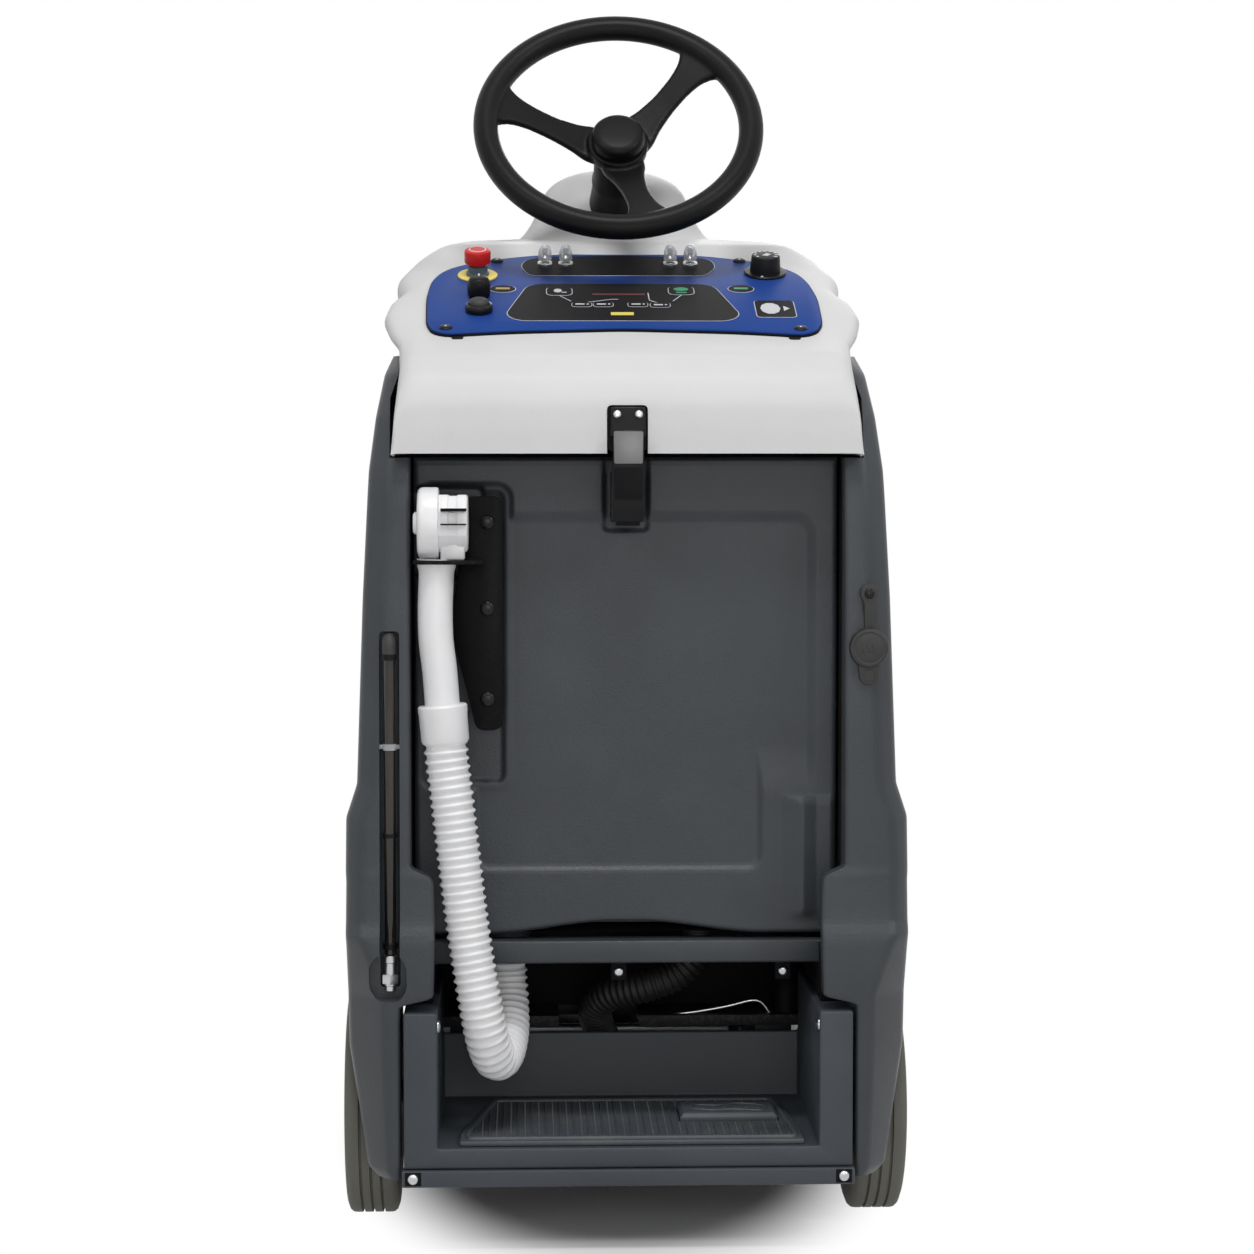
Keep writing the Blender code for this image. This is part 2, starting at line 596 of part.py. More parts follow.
# ---------------------------------------------------------------- drain hose assembly on the tank
PLATE_FACE = TANK_REAR_Y + RECESS_DEPTH - GAP
bracket_outline = (
    (-0.1685, 0.784), (-0.160, 0.787), (-0.137, 0.788), (-0.131, 0.781), (-0.1305, 0.552),
    (-0.136, 0.545), (-0.156, 0.541), (-0.161, 0.560), (-0.1820, 0.640), (-0.1835, 0.668),
)
bracket = prism("hose_bracket", bracket_outline, "Y", -0.5430, -0.5390, BLACK, 0.45)
fuse(bracket, box("t", (-0.160, -0.5410, 0.575), (-0.140, PLATE_FACE, 0.765)))
SHELF_Z = 0.7200
shelf = box("t", (-0.2225, -0.6000, SHELF_Z - 0.002), (-0.150, -0.5410, SHELF_Z + 0.002))
fuse(bracket, shelf)
clip = box("t", (-0.215, -0.5600, 0.588), (-0.150, -0.5410, 0.600))
cut(clip, rod("t", (-0.1947, HOSE_Y, 0.55), (-0.1947, HOSE_Y, 0.65), NECK_R + 0.0008))
fuse(bracket, clip)

neck_path = [(-0.1985, HOSE_Y, 0.7170), (-0.1988, HOSE_Y, 0.7050), (-0.2000, HOSE_Y, 0.675), (-0.1995, HOSE_Y, 0.640)]
neck_path += [(-0.1955, HOSE_Y, 0.604), (-0.1934, HOSE_Y, 0.5773)]
neck_path = smooth_path(neck_path, 0.014)


def swept(name, path, radius, rgb, rough, segs=16):
    rings = []
    for i, at in enumerate(path):
        way = path[min(i + 1, len(path) - 1)] - path[max(i - 1, 0)]
        place = frame_of(at, way, (1, 0, 0))
        ring = []
        for k in range(segs):
            a = 2 * math.pi * (k + 0.5) / segs
            ring.append(place @ Vector((radius * math.cos(a), radius * math.sin(a), 0)))
        rings.append(ring)
    return loft(name, rings, rgb, rough)


swept("drain_neck", neck_path, NECK_R, WHITE, 0.35)
valve_x = (-0.1965, -0.1655)
VALVE_BODY = [(0, 0.0), (0.027, 0.0), (0.031, 0.004), (0.031, 0.024), (0.028, 0.031), (0, 0.031)]
valve_at = (valve_x[0], HOSE_Y, 0.7600)
valve = turned("drain_valve", VALVE_BODY, valve_at, (1, 0, 0), WHITE, 0.35, across=(0, 1, 0))
fuse(valve, box("t", (-0.1920, -0.590, SHELF_Z + 0.0023), (-0.1700, -0.560, 0.735)))
CAP = [(0, 0.0), (0.0335, 0.0), (CAP_R, 0.003), (CAP_R, 0.0165), (0.034, 0.0190), (0.011, 0.0190), (0.0095, 0.0262), (0, 0.0262)]
turned("drain_cap", CAP, (valve_x[0] - GAP, HOSE_Y, 0.7600), (-1, 0, 0), WHITE, 0.35, across=(0, 1, 0))
CUFF = [(0, 0.0), (0.0235, 0.0), (0.0255, 0.003), (0.0255, 0.036), (0.0235, 0.0395), (0, 0.0395)]
turned("drain_cuff", CUFF, (-0.1905, HOSE_Y, 0.5370), (-0.08, 0, 1), WHITE, 0.35)
hose_route = [
    (-0.1903, HOSE_Y, 0.5364), (-0.1885, HOSE_Y, 0.5135), (-0.1834, HOSE_Y, 0.4716), (-0.1774, HOSE_Y, 0.4191),
    (-0.1713, HOSE_Y, 0.3665), (-0.1642, HOSE_Y, 0.3137), (-0.1555, -0.574, 0.2608), (-0.1480, -0.566, 0.2200),
    (-0.1395, -0.545, 0.1935), (-0.1315, -0.517, 0.1925), (-0.1265, -0.485, 0.2100), (-0.1268, -0.461, 0.2370),
    (-0.1283, -0.4505, 0.2640), (-0.1285, -0.450, 0.2930),
]
cord("drain_hose", hose_route, HOSE_R, 0.024, WHITE, 0.4)
OUTLET = [(0, 0.0), (0.0255, 0.0), (0.0255, 0.018), (0.030, 0.019), (0.030, 0.0290), (0, 0.0290)]
fuse(tank, turned("t", OUTLET, (-0.1285, -0.450, 0.2936), (0, 0, 1), segs=16))

# ---------------------------------------------------------------- dash, panel
# y, then (half width, z) of waist, lobe, upper round, top edge, and z at the middle
DASH_STATIONS = (
    (-0.5800, (0.2425, 0.838), (0.2415, 0.846), (0.2400, 0.852), (0.2320, 0.8560), 0.8570),
    (-0.5780, (0.2435, 0.850), (0.2425, 0.865), (0.2400, 0.876), (0.2280, 0.8840), 0.8850),
    (-0.5650, (0.2420, 0.870), (0.2400, 0.890), (0.2370, 0.903), (0.2250, 0.9120), 0.9130),
    (-0.5350, (0.2380, 0.905), (0.2375, 0.918), (0.2360, 0.929), (0.2250, 0.9370), 0.9380),
    (-0.4900, (0.2375, 0.9385), (0.2500, 0.9440), (0.2460, 0.9500), (0.2250, None), None),
    (-0.4600, (0.2375, 0.9385), (0.2575, 0.9510), (0.2520, 0.9600), (0.2235, None), None),
    (-0.4100, (0.2370, 0.9385), (0.2565, 0.9640), (0.2510, 0.9770), (0.2235, None), None),
    (-0.3700, (0.2365, 0.9385), (0.2505, 0.9780), (0.2460, 0.9920), (0.2225, None), None),
    (-0.3000, (0.2360, 0.9400), (0.2535, 0.9980), (0.2480, 1.0160), (0.2180, None), None),
    (-0.2400, (0.2340, 0.9450), (0.2450, 1.0100), (0.2370, 1.0320), (0.2070, None), None),
    (-0.2000, (0.2320, 0.9450), (0.2320, 1.0150), (0.2220, 1.0450), (0.1950, 1.0680), 1.0700),
    (-0.1500, (0.2300, 0.9450), (0.2260, 1.0100), (0.2120, 1.0450), (0.1800, 1.0710), 1.0780),
    (-0.0500, (0.2290, 0.9450), (0.2240, 1.0000), (0.2100, 1.0320), (0.1700, 1.0560), 1.0660),
    (0.0400, (0.2280, 0.9400), (0.2220, 0.9800), (0.2080, 1.0050), (0.1600, 1.0260), 1.0330),
    (0.1150, (0.2260, 0.9380), (0.2180, 0.9500), (0.2000, 0.9620), (0.1500, 0.9760), 0.9800),
    (0.1300, (0.2200, 0.9360), (0.2120, 0.9400), (0.1900, 0.9440), (0.1400, 0.9480), 0.9500),
)


def panel_under(y):
    return PANEL_Z + math.tan(PANEL_SLOPE) * (y - PANEL_Y) - (PANEL_T + GAP) / math.cos(PANEL_SLOPE)


def dash_ring(station, inset):
    y, waist, lobe, upper, edge, middle = station
    edge_z = panel_under(y) if edge[1] is None else edge[1]
    mid_z = panel_under(y) if middle is None else middle
    low = DASH_LOW_Z if inset == 0 else 0.78
    half = [(DASH_HALF_W - inset, low)]
    half += [(x - inset, z - 0.6 * inset) for x, z in (waist, lobe)]
    half += [(upper[0] - inset, upper[1] - inset), (edge[0] - inset, edge_z - inset)]
    ring = [(x, y, z) for x, z in half] + [(0, y, mid_z - inset)]
    return ring + [(-x, y, z) for x, z in reversed(half)]


dash = loft("dash_cover", [dash_ring(s, 0.0) for s in DASH_STATIONS], PALE, 0.45)
cowl_levels = (
    (1.000, 0.118, 0.098), (1.070, 0.116, 0.098), (1.098, 0.107, 0.090), (1.128, 0.093, 0.078),
    (1.150, 0.072, 0.060), (1.160, 0.050, 0.040), (1.164, 0.024, 0.020),
)
COWL_Y = -0.105
cowl_rings = []
for z, rx, ry in cowl_levels:
    angles = [2 * math.pi * (k + 0.5) / SEG for k in range(SEG)]
    cowl_rings.append([(rx * math.cos(a), COWL_Y + ry * math.sin(a), z) for a in angles])
fuse(dash, loft("t", cowl_rings))
inner_rings = []
for station in DASH_STATIONS[1:]:
    shifted = dash_ring(station, DASH_WALL)
    move = DASH_WALL if station[0] < -0.54 else (-DASH_WALL if station[0] > 0.10 else 0.0)
    inner_rings.append([(x, y + move, z) for x, y, z in shifted])
cut(dash, loft("t", inner_rings))
cut(dash, box("t", (-0.3, COVER_FRONT_Y - 0.001, 0.5), (0.3, 0.3, 0.930 + SEAM)))

NORMAL = Vector((0, -math.sin(PANEL_SLOPE), math.cos(PANEL_SLOPE)))
UP_SLOPE = Vector((0, math.cos(PANEL_SLOPE), math.sin(PANEL_SLOPE)))


def on_panel(x, v, h=0.0):
    return Vector((x, PANEL_Y, PANEL_Z)) + v * UP_SLOPE + h * NORMAL


panel_outline = [
    (-0.190, 0.002), (-0.120, 0.013), (0.0, 0.0215), (0.120, 0.013), (0.190, 0.002), (0.205, 0.012), (0.2135, 0.038),
    (0.2155, 0.120), (0.2090, 0.180), (0.1960, 0.214), (0.160, 0.2445), (0.095, 0.2665), (0.0, 0.2750),
    (-0.095, 0.2665), (-0.160, 0.2445), (-0.1960, 0.214), (-0.2090, 0.180), (-0.2135, 0.120), (-0.2115, 0.038),
    (-0.205, 0.012),
]
panel = loft(
    "control_panel",
    [[on_panel(x, v, h) for x, v in panel_outline] for h in (-PANEL_T, 0.0)],
    (0.010, 0.055, 0.30),
    0.35,
)

# ---------------------------------------------------------------- controls on the panel
ESTOP = (-0.159, 0.192)
KNOB = (-0.1566, 0.1203)
HORN = (-0.156, 0.0725)
DIAL = (0.1644, 0.203)
TOGGLES = ((-0.0834, 0.232), (-0.0599, 0.232), (0.0586, 0.232), (0.0812, 0.232))


def control(name, spot, profile, rgb, rough, metal=0.0, segs=20):
    return turned(name, profile, on_panel(*spot), NORMAL, rgb, rough, metal, segs)


control("estop_base", ESTOP, [(0, GAP), (0.0265, GAP), (0.0265, 0.0020), (0.0195, 0.0021), (0.0195, 0.0120), (0.0095, 0.0120), (0.0095, 0.0050), (0, 0.0050)], (0.8, 0.62, 0.05), 0.5)
ESTOP_TRAVEL = 0.005
estop_rise = 0.0120 + ESTOP_TRAVEL + GAP
stem = [(0, 0.0110), (0.009, 0.0110), (0.009, estop_rise), (0.0165, estop_rise), (0.0178, estop_rise + 0.004)]
stem += [(0.0178, estop_rise + 0.009), (0.0150, estop_rise + 0.0125), (0, estop_rise + 0.0135)]
control("estop_button", ESTOP, stem, (0.62, 0.02, 0.02), 0.35)
barrel = [(0, GAP), (0.0135, GAP), (0.0135, 0.004), (0.0110, 0.005), (0.0110, 0.0215), (0.0095, 0.0235), (0, 0.0235)]
control("selector_knob", KNOB, barrel, BLACK, 0.35)
HORN_TRAVEL = 0.003
HORN_R = 0.0135
boot = [(0, HORN_TRAVEL - PANEL_T), (HORN_R, HORN_TRAVEL - PANEL_T), (HORN_R, 0.0075), (0.0105, 0.0090), (0.0110, 0.0150)]
boot += [(0.0090, 0.0205), (0.0045, 0.0230), (0, 0.0235)]
control("horn_button", HORN, boot, BLACK, 0.6)
cut(panel, rod("t", on_panel(*HORN, -0.01), on_panel(*HORN, 0.01), HORN_R + RUN, segs=20))
control("dial_base", DIAL, [(0, GAP), (0.0240, GAP), (0.0240, 0.0020), (0.0225, 0.0032), (0, 0.0032)], BLACK, 0.5)
knob = [(0, 0.0032 + GAP), (0.0168, 0.0032 + GAP), (0.0158, 0.0200), (0.0145, 0.0215), (0, 0.0215)]
dial = control("speed_dial", DIAL, knob, BLACK, 0.35, 0.0, 20)
toggle = [(0, 0.0009), (0.0030, 0.0009), (0.0045, 0.0030), (0.0075, 0.0060), (0.0078, 0.0120), (0.0070, 0.0180)]
toggle += [(0.0045, 0.0225), (0, 0.0238)]
for number, spot in enumerate(TOGGLES, 1):
    control(f"toggle_{number}", spot, toggle, (0.7, 0.72, 0.74), 0.2, 0.5, 12)

# ---------------------------------------------------------------- latch
keeper_outline = ((-0.0175, 0.8800), (0.0175, 0.8800), (0.0185, 0.8500), (-0.0185, 0.8500))
keeper = prism("latch_keeper", keeper_outline, "Y", -0.5835, -0.5805, BLACK, 0.4)
fuse(keeper, box("t", (-0.014, -0.5920, 0.8500), (0.014, -0.5830, 0.8550)))
LATCH_PIVOT = (-0.5520, 0.7680)
base = box("latch_base", (-0.0165, -0.5440, 0.7600), (0.0165, TANK_REAR_Y + 0.008 - GAP, 0.8120), BLACK, 0.4)
for s in (-1, 1):
    lo, hi = sorted((s * 0.0128, s * 0.0165))
    fuse(base, box("t", (lo, -0.5590, 0.7610), (hi, -0.5430, 0.7760)))
lever_side = (
    (-0.5560, 0.7760), (-0.5560, 0.7620), (-0.5720, 0.7570), (-0.5870, 0.7620), (-0.5930, 0.7800), (-0.5925, 0.8480),
    (-0.5860, 0.8480), (-0.5800, 0.8200), (-0.5640, 0.7900),
)
lever = prism("latch_lever", lever_side, "X", -0.0122, 0.0122, (0.05, 0.05, 0.055), 0.4)
fuse(lever, prism("t", [(y, z) for y, z in lever_side[3:8]], "X", -0.0160, 0.0160))
PIN_R = 0.0024
pin_ends = [(x, *LATCH_PIVOT) for x in (-0.0180, 0.0180)]
fuse(lever, rod("t", *pin_ends, PIN_R, segs=10))
fuse(lever, box("t", (-0.0122, -0.5575, 0.7655), (0.0122, LATCH_PIVOT[0] + 0.001, 0.7705)))
cut(base, rod("t", (-0.03, *LATCH_PIVOT), (0.03, *LATCH_PIVOT), PIN_R + RUN, segs=10))

# ---------------------------------------------------------------- steering
WHEEL_N = Vector((0, -math.sin(WHEEL_TILT), math.cos(WHEEL_TILT)))
HUB = Vector((0, HUB_Y, HUB_Z))
wheel_place = frame_of(HUB, WHEEL_N)
RIM_SEGS = 32
TUBE_SEGS = 8
rings = []
for k in range(RIM_SEGS):
    a = 2 * math.pi * k / RIM_SEGS
    ring_points = []
    for j in range(TUBE_SEGS):
        b = 2 * math.pi * (j + 0.5) / TUBE_SEGS
        r = RIM_MAJOR + RIM_MINOR * math.cos(b)
        ring_points.append(wheel_place @ Vector((r * math.cos(a), r * math.sin(a), RIM_RISE + RIM_MINOR * math.sin(b))))
    rings.append(ring_points)
wheel = loft("steering_wheel", rings, BLACK, 0.5, closed=True)
HUB_OUT_R = 0.034
hub_profile = [
    (SHAFT_R + RUN, -0.018), (0.026, -0.018), (HUB_OUT_R, -0.006), (HUB_OUT_R, 0.006), (SHAFT_R + RUN, 0.006),
]
fuse(wheel, turned("t", hub_profile, HUB, WHEEL_N))
# radius, height, half width, half thickness
SPOKE = (
    (0.018, -0.006, 0.020, 0.0060),
    (0.050, -0.001, 0.0155, 0.0065),
    (0.085, 0.012, 0.0125, 0.0060),
    (0.120, 0.027, 0.0150, 0.0065),
    (0.147, RIM_RISE, 0.0290, 0.0070),
)
SPOKE_ANGLES = (46.0, 166.0, 283.0)
for angle in SPOKE_ANGLES:
    spin = Matrix.Rotation(math.radians(angle), 4, "Z")
    rings = []
    for r, h, w, t in SPOKE:
        shape = ((w, 0), (0.6 * w, t), (-0.6 * w, t), (-w, 0), (-0.6 * w, -t), (0.6 * w, -t))
        rings.append([wheel_place @ spin @ Vector((r, across, h + up)) for across, up in shape])
    spoke = loft("t", rings)
    cut(spoke, rod("t", HUB - 0.05 * WHEEL_N, HUB + 0.05 * WHEEL_N, SHAFT_R + RUN))
    fuse(wheel, spoke)
hub_cap = [(0, 0.0063), (0.0300, 0.0063), (0.0300, 0.0200), (0.0270, 0.0240), (0, 0.0250)]
turned("hub_cap", hub_cap, HUB, WHEEL_N, BLACK, 0.35)

SHAFT_END = math.hypot(FOOT_Y - HUB_Y, HUB_Z - FOOT_Z)
shaft_profile = [(0, 0.0), (SHAFT_R, 0.0), (SHAFT_R, SHAFT_END + 0.006), (0.016, SHAFT_END + 0.006)]
shaft_profile += [(0.016, SHAFT_END + 0.014), (0, SHAFT_END + 0.014)]
turned("steering_shaft", shaft_profile, HUB + 0.0060 * WHEEL_N, -WHEEL_N, STEEL, 0.3, 1.0)
column_profile = [(0, 0.0225), (0.0180, 0.0225), (COLUMN_R, 0.0300), (COLUMN_R, SHAFT_END - 0.003), (0, SHAFT_END - 0.003)]
column = turned("steering_column", column_profile, HUB, -WHEEL_N, BLACK, 0.45)
stand = box("t", (-0.045, 0.030, 0.930 + GAP), (0.045, 0.062, 0.975), BLACK)
cut(stand, rod("t", HUB - (SHAFT_END - 0.0035) * WHEEL_N, HUB - 0.6 * WHEEL_N, 0.034, segs=16))
fuse(column, stand)
cut(column, rod("t", HUB, HUB - (SHAFT_END + 0.128) * WHEEL_N, SHAFT_R + RUN))
cut(dash, rod("t", HUB - 0.04 * WHEEL_N, HUB - (SHAFT_END - 0.012) * WHEEL_N, COLUMN_R + RUN))

# ---------------------------------------------------------------- brush deck
DECK_TOP = 0.112
deck = turned(
    "brush_deck",
    [
        (0.0120, 0.1000), (DECK_R - 0.008, 0.1000), (DECK_R - 0.008, 0.052), (DECK_R, 0.052), (DECK_R, 0.1040),
        (DECK_R - 0.010, DECK_TOP), (0.0120, DECK_TOP),
    ],
    (0, DECK_Y, 0),
    (0, 0, 1),
    (0.10, 0.11, 0.12),
    0.5,
    segs=36,
)
for s in (-1, 1):
    fuse(deck, rod("t", (s * GUIDE_X, DECK_Y, DECK_TOP - 0.006), (s * GUIDE_X, DECK_Y, 0.1965), GUIDE_R, segs=12))
motor = [(0.0125, 0.0), (0.080, 0.0), (0.080, 0.034), (0.070, 0.038), (0.0125, 0.038)]
turned("brush_motor", motor, (0, DECK_Y, DECK_TOP + GAP), (0, 0, 1), BLACK, 0.5)
brush = [(0, 0.031), (0.085, 0.031), (0.086, 0.066), (0.100, 0.066), (0.100, DECK_REST), (BRUSH_R, DECK_REST)]
brush += [(BRUSH_R - 0.010, 0.078), (0.210, 0.086), (0.050, 0.092), (0.0112, 0.093), (0.0112, 0.145), (0, 0.145)]
turned("disc_brush", brush, (0, DECK_Y, 0), (0, 0, 1), (0.02, 0.05, 0.12), 0.9, segs=32)

# ---------------------------------------------------------------- squeegee
SQ_STEPS = 10


def squeegee_ring(x, y_off, half_t, low, high):
    y = SQUEEGEE_Y + y_off + 0.062 * (x / SQUEEGEE_HALF_W) ** 2
    return [(x, y - half_t, low), (x, y + half_t, low), (x, y + half_t, high), (x, y - half_t, high)]


def squeegee_bar(name, y_off, half_t, low, high, half_w, rgb, rough):
    rings = []
    for k in range(SQ_STEPS + 1):
        rings.append(squeegee_ring(-half_w + 2 * half_w * k / SQ_STEPS, y_off, half_t, low, high))
    return loft(name, rings, rgb, rough)


SQ_PIVOT = (-0.150, 0.1440)
holder = squeegee_bar("squeegee_frame", 0, 0.0090, 0.056, 0.070, SQUEEGEE_HALF_W - 0.006, (0.25, 0.26, 0.27), 0.5)
NOZZLE = [(0, 0.0), (0.021, 0.0), (0.021, 0.030), (0.0145, 0.030), (0.0145, 0.006), (0, 0.006)]
fuse(holder, turned("t", NOZZLE, (0, SQUEEGEE_Y, 0.0685), (0, 0, 1), segs=16))
for s in (-1, 1):
    lo, hi = sorted((s * 0.134, s * 0.146))
    arm = ((-0.256, 0.069), (-0.232, 0.069), (-0.215, 0.118), (SQ_PIVOT[0] + 0.010, 0.136))
    arm += ((SQ_PIVOT[0] + 0.010, 0.152), (SQ_PIVOT[0] - 0.010, 0.152), (-0.235, 0.135), (-0.256, 0.090))
    fuse(holder, prism("t", arm, "X", lo, hi))
fuse(holder, rod("t", (-0.1515, *SQ_PIVOT), (0.1515, *SQ_PIVOT), 0.006, segs=12))
SQ_BLADE_LOW = 0.0125
for word, off in (("front", 0.0075), ("rear", -0.0075)):
    squeegee_bar(
        "squeegee_blade_" + word, off + (0.004 if off > 0 else -0.004), 0.0020, SQ_BLADE_LOW, 0.067,
        SQUEEGEE_HALF_W, (0.25, 0.05, 0.03), 0.7,
    )

# ---------------------------------------------------------------- suction hose from the squeegee to the tank
VAC_HOSE_R = 0.0190
suction_route = [
    (0.0, SQUEEGEE_Y, 0.0998), (0.0, SQUEEGEE_Y, 0.1180), (-0.010, -0.276, 0.1450), (-0.024, -0.310, 0.1780),
    (-0.028, -0.343, 0.2080), (-0.010, -0.370, 0.2280), (0.028, -0.387, 0.2400), (0.062, -0.386, 0.2540),
    (0.083, -0.379, 0.2800), (0.086, -0.378, 0.3050),
]
cord("suction_hose", suction_route, VAC_HOSE_R, 0.022, BLACK, 0.5)
SPIGOT = [(0, 0.0), (0.021, 0.0), (0.021, 0.0063), (0.026, 0.0070), (0.026, 0.0160), (0, 0.0160)]
fuse(tank, turned("t", SPIGOT, (0.086, -0.378, 0.3066), (0, 0, 1), segs=16))
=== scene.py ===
"""Looks for the stand-on floor cleaner: shells, hoses, controls and finishes around the fixed frame."""

import json
import math

import bpy
import numpy as np
from mathutils import Matrix, Vector

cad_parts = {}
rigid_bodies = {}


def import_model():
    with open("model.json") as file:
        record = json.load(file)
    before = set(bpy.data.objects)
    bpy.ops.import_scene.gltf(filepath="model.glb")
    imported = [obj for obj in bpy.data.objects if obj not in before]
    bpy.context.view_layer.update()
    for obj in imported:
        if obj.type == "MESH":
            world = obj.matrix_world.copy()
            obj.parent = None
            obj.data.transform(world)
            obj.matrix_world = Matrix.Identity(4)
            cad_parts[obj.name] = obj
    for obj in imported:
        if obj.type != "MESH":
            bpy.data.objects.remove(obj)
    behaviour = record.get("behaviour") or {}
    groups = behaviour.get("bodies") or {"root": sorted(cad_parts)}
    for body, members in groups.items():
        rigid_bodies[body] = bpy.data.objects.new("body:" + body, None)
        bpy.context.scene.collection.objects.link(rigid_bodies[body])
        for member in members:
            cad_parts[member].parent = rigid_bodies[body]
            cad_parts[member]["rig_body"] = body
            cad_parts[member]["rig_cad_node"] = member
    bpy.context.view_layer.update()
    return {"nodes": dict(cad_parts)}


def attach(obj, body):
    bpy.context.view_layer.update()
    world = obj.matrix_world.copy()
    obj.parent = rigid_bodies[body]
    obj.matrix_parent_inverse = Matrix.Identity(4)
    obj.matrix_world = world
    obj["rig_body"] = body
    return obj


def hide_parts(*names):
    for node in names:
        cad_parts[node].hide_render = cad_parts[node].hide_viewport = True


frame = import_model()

# ---------------------------------------------------------------- driving places, in metres
AXLE_Y = -0.42
AXLE_Z = 0.1242
HOSE_Y = -0.5742
DRAIN_HOSE_D = 0.047
SUCTION_HOSE_D = 0.038
PANEL_Y = -0.49
PANEL_Z = 0.958
PANEL_SLOPE = math.atan(0.4)
HUB = Vector((0, -0.25, 1.18))
WHEEL_TILT = math.radians(53.5)
WHEEL_N = Vector((0, -math.sin(WHEEL_TILT), math.cos(WHEEL_TILT)))
NORMAL = Vector((0, -math.sin(PANEL_SLOPE), math.cos(PANEL_SLOPE)))
UP_SLOPE = Vector((0, math.cos(PANEL_SLOPE), math.sin(PANEL_SLOPE)))
BACK = Vector((0, -1, 0))
UP = Vector((0, 0, 1))
TOUCHING = 1e-6


# ---------------------------------------------------------------- shader sums
class Value:
    """A shader socket that Python sums act on, each as one Math node."""

    def __init__(self, finish, socket):
        self.finish = finish
        self.socket = socket

    def join(self, operation, first, second):
        return self.finish.node("ShaderNodeMath", {"operation": operation}, {0: first, 1: second})

    def __add__(self, other):
        return self.join("ADD", self, other)

    def __mul__(self, other):
        return self.join("MULTIPLY", self, other)

    __radd__ = __add__
    __rmul__ = __mul__

    def ramp(self, low, high):
        """0 below low and 1 above high, turning smoothly between them. High may be the lower one."""
        inputs = {"Value": self, "From Min": low, "From Max": high}
        return self.finish.node("ShaderNodeMapRange", {"interpolation_type": "SMOOTHSTEP"}, inputs)


class Finish:
    """One material: a Principled shader and the nodes that feed it."""

    def __init__(self, name, colour, rough, metal=0.0, shine=0.5, coat=0.0):
        self.material = bpy.data.materials.new(name)
        self.material.use_nodes = True
        self.tree = self.material.node_tree
        self.shader = self.tree.nodes["Principled BSDF"]
        self.colour = (*colour, 1.0)
        self.set("Base Color", self.colour)
        self.set("Roughness", rough)
        self.set("Metallic", metal)
        self.set("Specular IOR Level", shine)
        self.set("Coat Weight", coat)
        self.at = self.node("ShaderNodeTexCoord", {}, {}, "Object")

    def feed(self, socket, given):
        if isinstance(given, Value):
            self.tree.links.new(given.socket, socket)
        else:
            socket.default_value = given

    def node(self, kind, settings, inputs, out=0):
        made = self.tree.nodes.new(kind)
        for key, value in settings.items():
            setattr(made, key, value)
        for socket, given in inputs.items():
            self.feed(made.inputs[socket], given)
        return Value(self, made.outputs[out])

    def set(self, socket, given):
        self.feed(self.shader.inputs[socket], given)

    def stretched(self, scale):
        return self.node("ShaderNodeMapping", {}, {"Vector": self.at, "Scale": scale})

    def noise(self, scale, detail=2.0, where=None):
        inputs = {"Vector": where or self.at, "Scale": scale, "Detail": detail, "Roughness": 0.55}
        return self.node("ShaderNodeTexNoise", {}, inputs)

    def cells(self, scale, where):
        return self.node("ShaderNodeTexVoronoi", {}, {"Vector": where, "Scale": scale})

    def mixed(self, mask, first, second):
        """Colour first where the mask is 0 and second where it is 1."""
        colours = {0: mask, 6: first, 7: second}
        return self.node("ShaderNodeMix", {"data_type": "RGBA"}, colours, 2)

    def shade(self, factor):
        """The finish's own colour, darker below 1 and paler above it."""
        return tuple(min(1.0, c * factor) for c in self.colour[:3]) + (1.0,)

    def raised(self, height, depth):
        """Bumps of the given depth in metres."""
        inputs = {"Height": height, "Distance": depth, "Strength": 1.0}
        self.set("Normal", self.node("ShaderNodeBump", {}, inputs, "Normal"))

    def pointed(self):
        """Above 0.5 on outer edges, where hands and boots rub, and below it in folds."""
        return self.node("ShaderNodeNewGeometry", {}, {}, "Pointiness")


def moulded(name, colour, rough, grain=900.0, depth=0.00018, spread=0.1, scuff=0.25, shine=0.5):
    """Moulded plastic: fine grain, soft clouding, pale specks and a few pale rubs."""
    f = Finish(name, colour, rough, 0.0, shine)
    cloud = f.noise(9.0, 4.0)
    fine = f.noise(grain, 2.0)
    base = f.mixed(cloud.ramp(0.35, 0.68), f.shade(1 - spread), f.shade(1 + spread))
    speck = f.noise(grain * 1.9, 1.0).ramp(0.6, 0.72) * 0.35
    base = f.mixed(speck, base, f.shade(1 + 3.2 * spread))
    streak = f.noise(26.0, 3.0, f.stretched((3.0, 3.0, 0.35))).ramp(0.66, 0.74)
    marks = streak * f.noise(240.0, 1.0).ramp(0.52, 0.62) * scuff
    base = f.mixed(marks, base, f.shade(1.35 + spread))
    f.set("Base Color", base)
    f.set("Roughness", rough - 0.08 + 0.12 * cloud + 0.08 * fine)
    f.raised(fine + 0.5 * f.noise(grain * 0.35, 1.0), depth)
    return f


def metallic(name, colour, rough, brush=(1.0, 1.0, 12.0), grain=160.0, spread=0.08):
    """Metal with a drawn grain along the short way of brush."""
    f = Finish(name, colour, rough, 1.0)
    lines = f.noise(grain, 3.0, f.stretched(brush))
    f.set("Base Color", f.mixed(lines, f.shade(1 - spread), f.shade(1 + spread)))
    f.set("Roughness", rough - 0.06 + 0.14 * lines + 0.05 * f.noise(30.0))
    f.raised(lines, 0.00003)
    return f


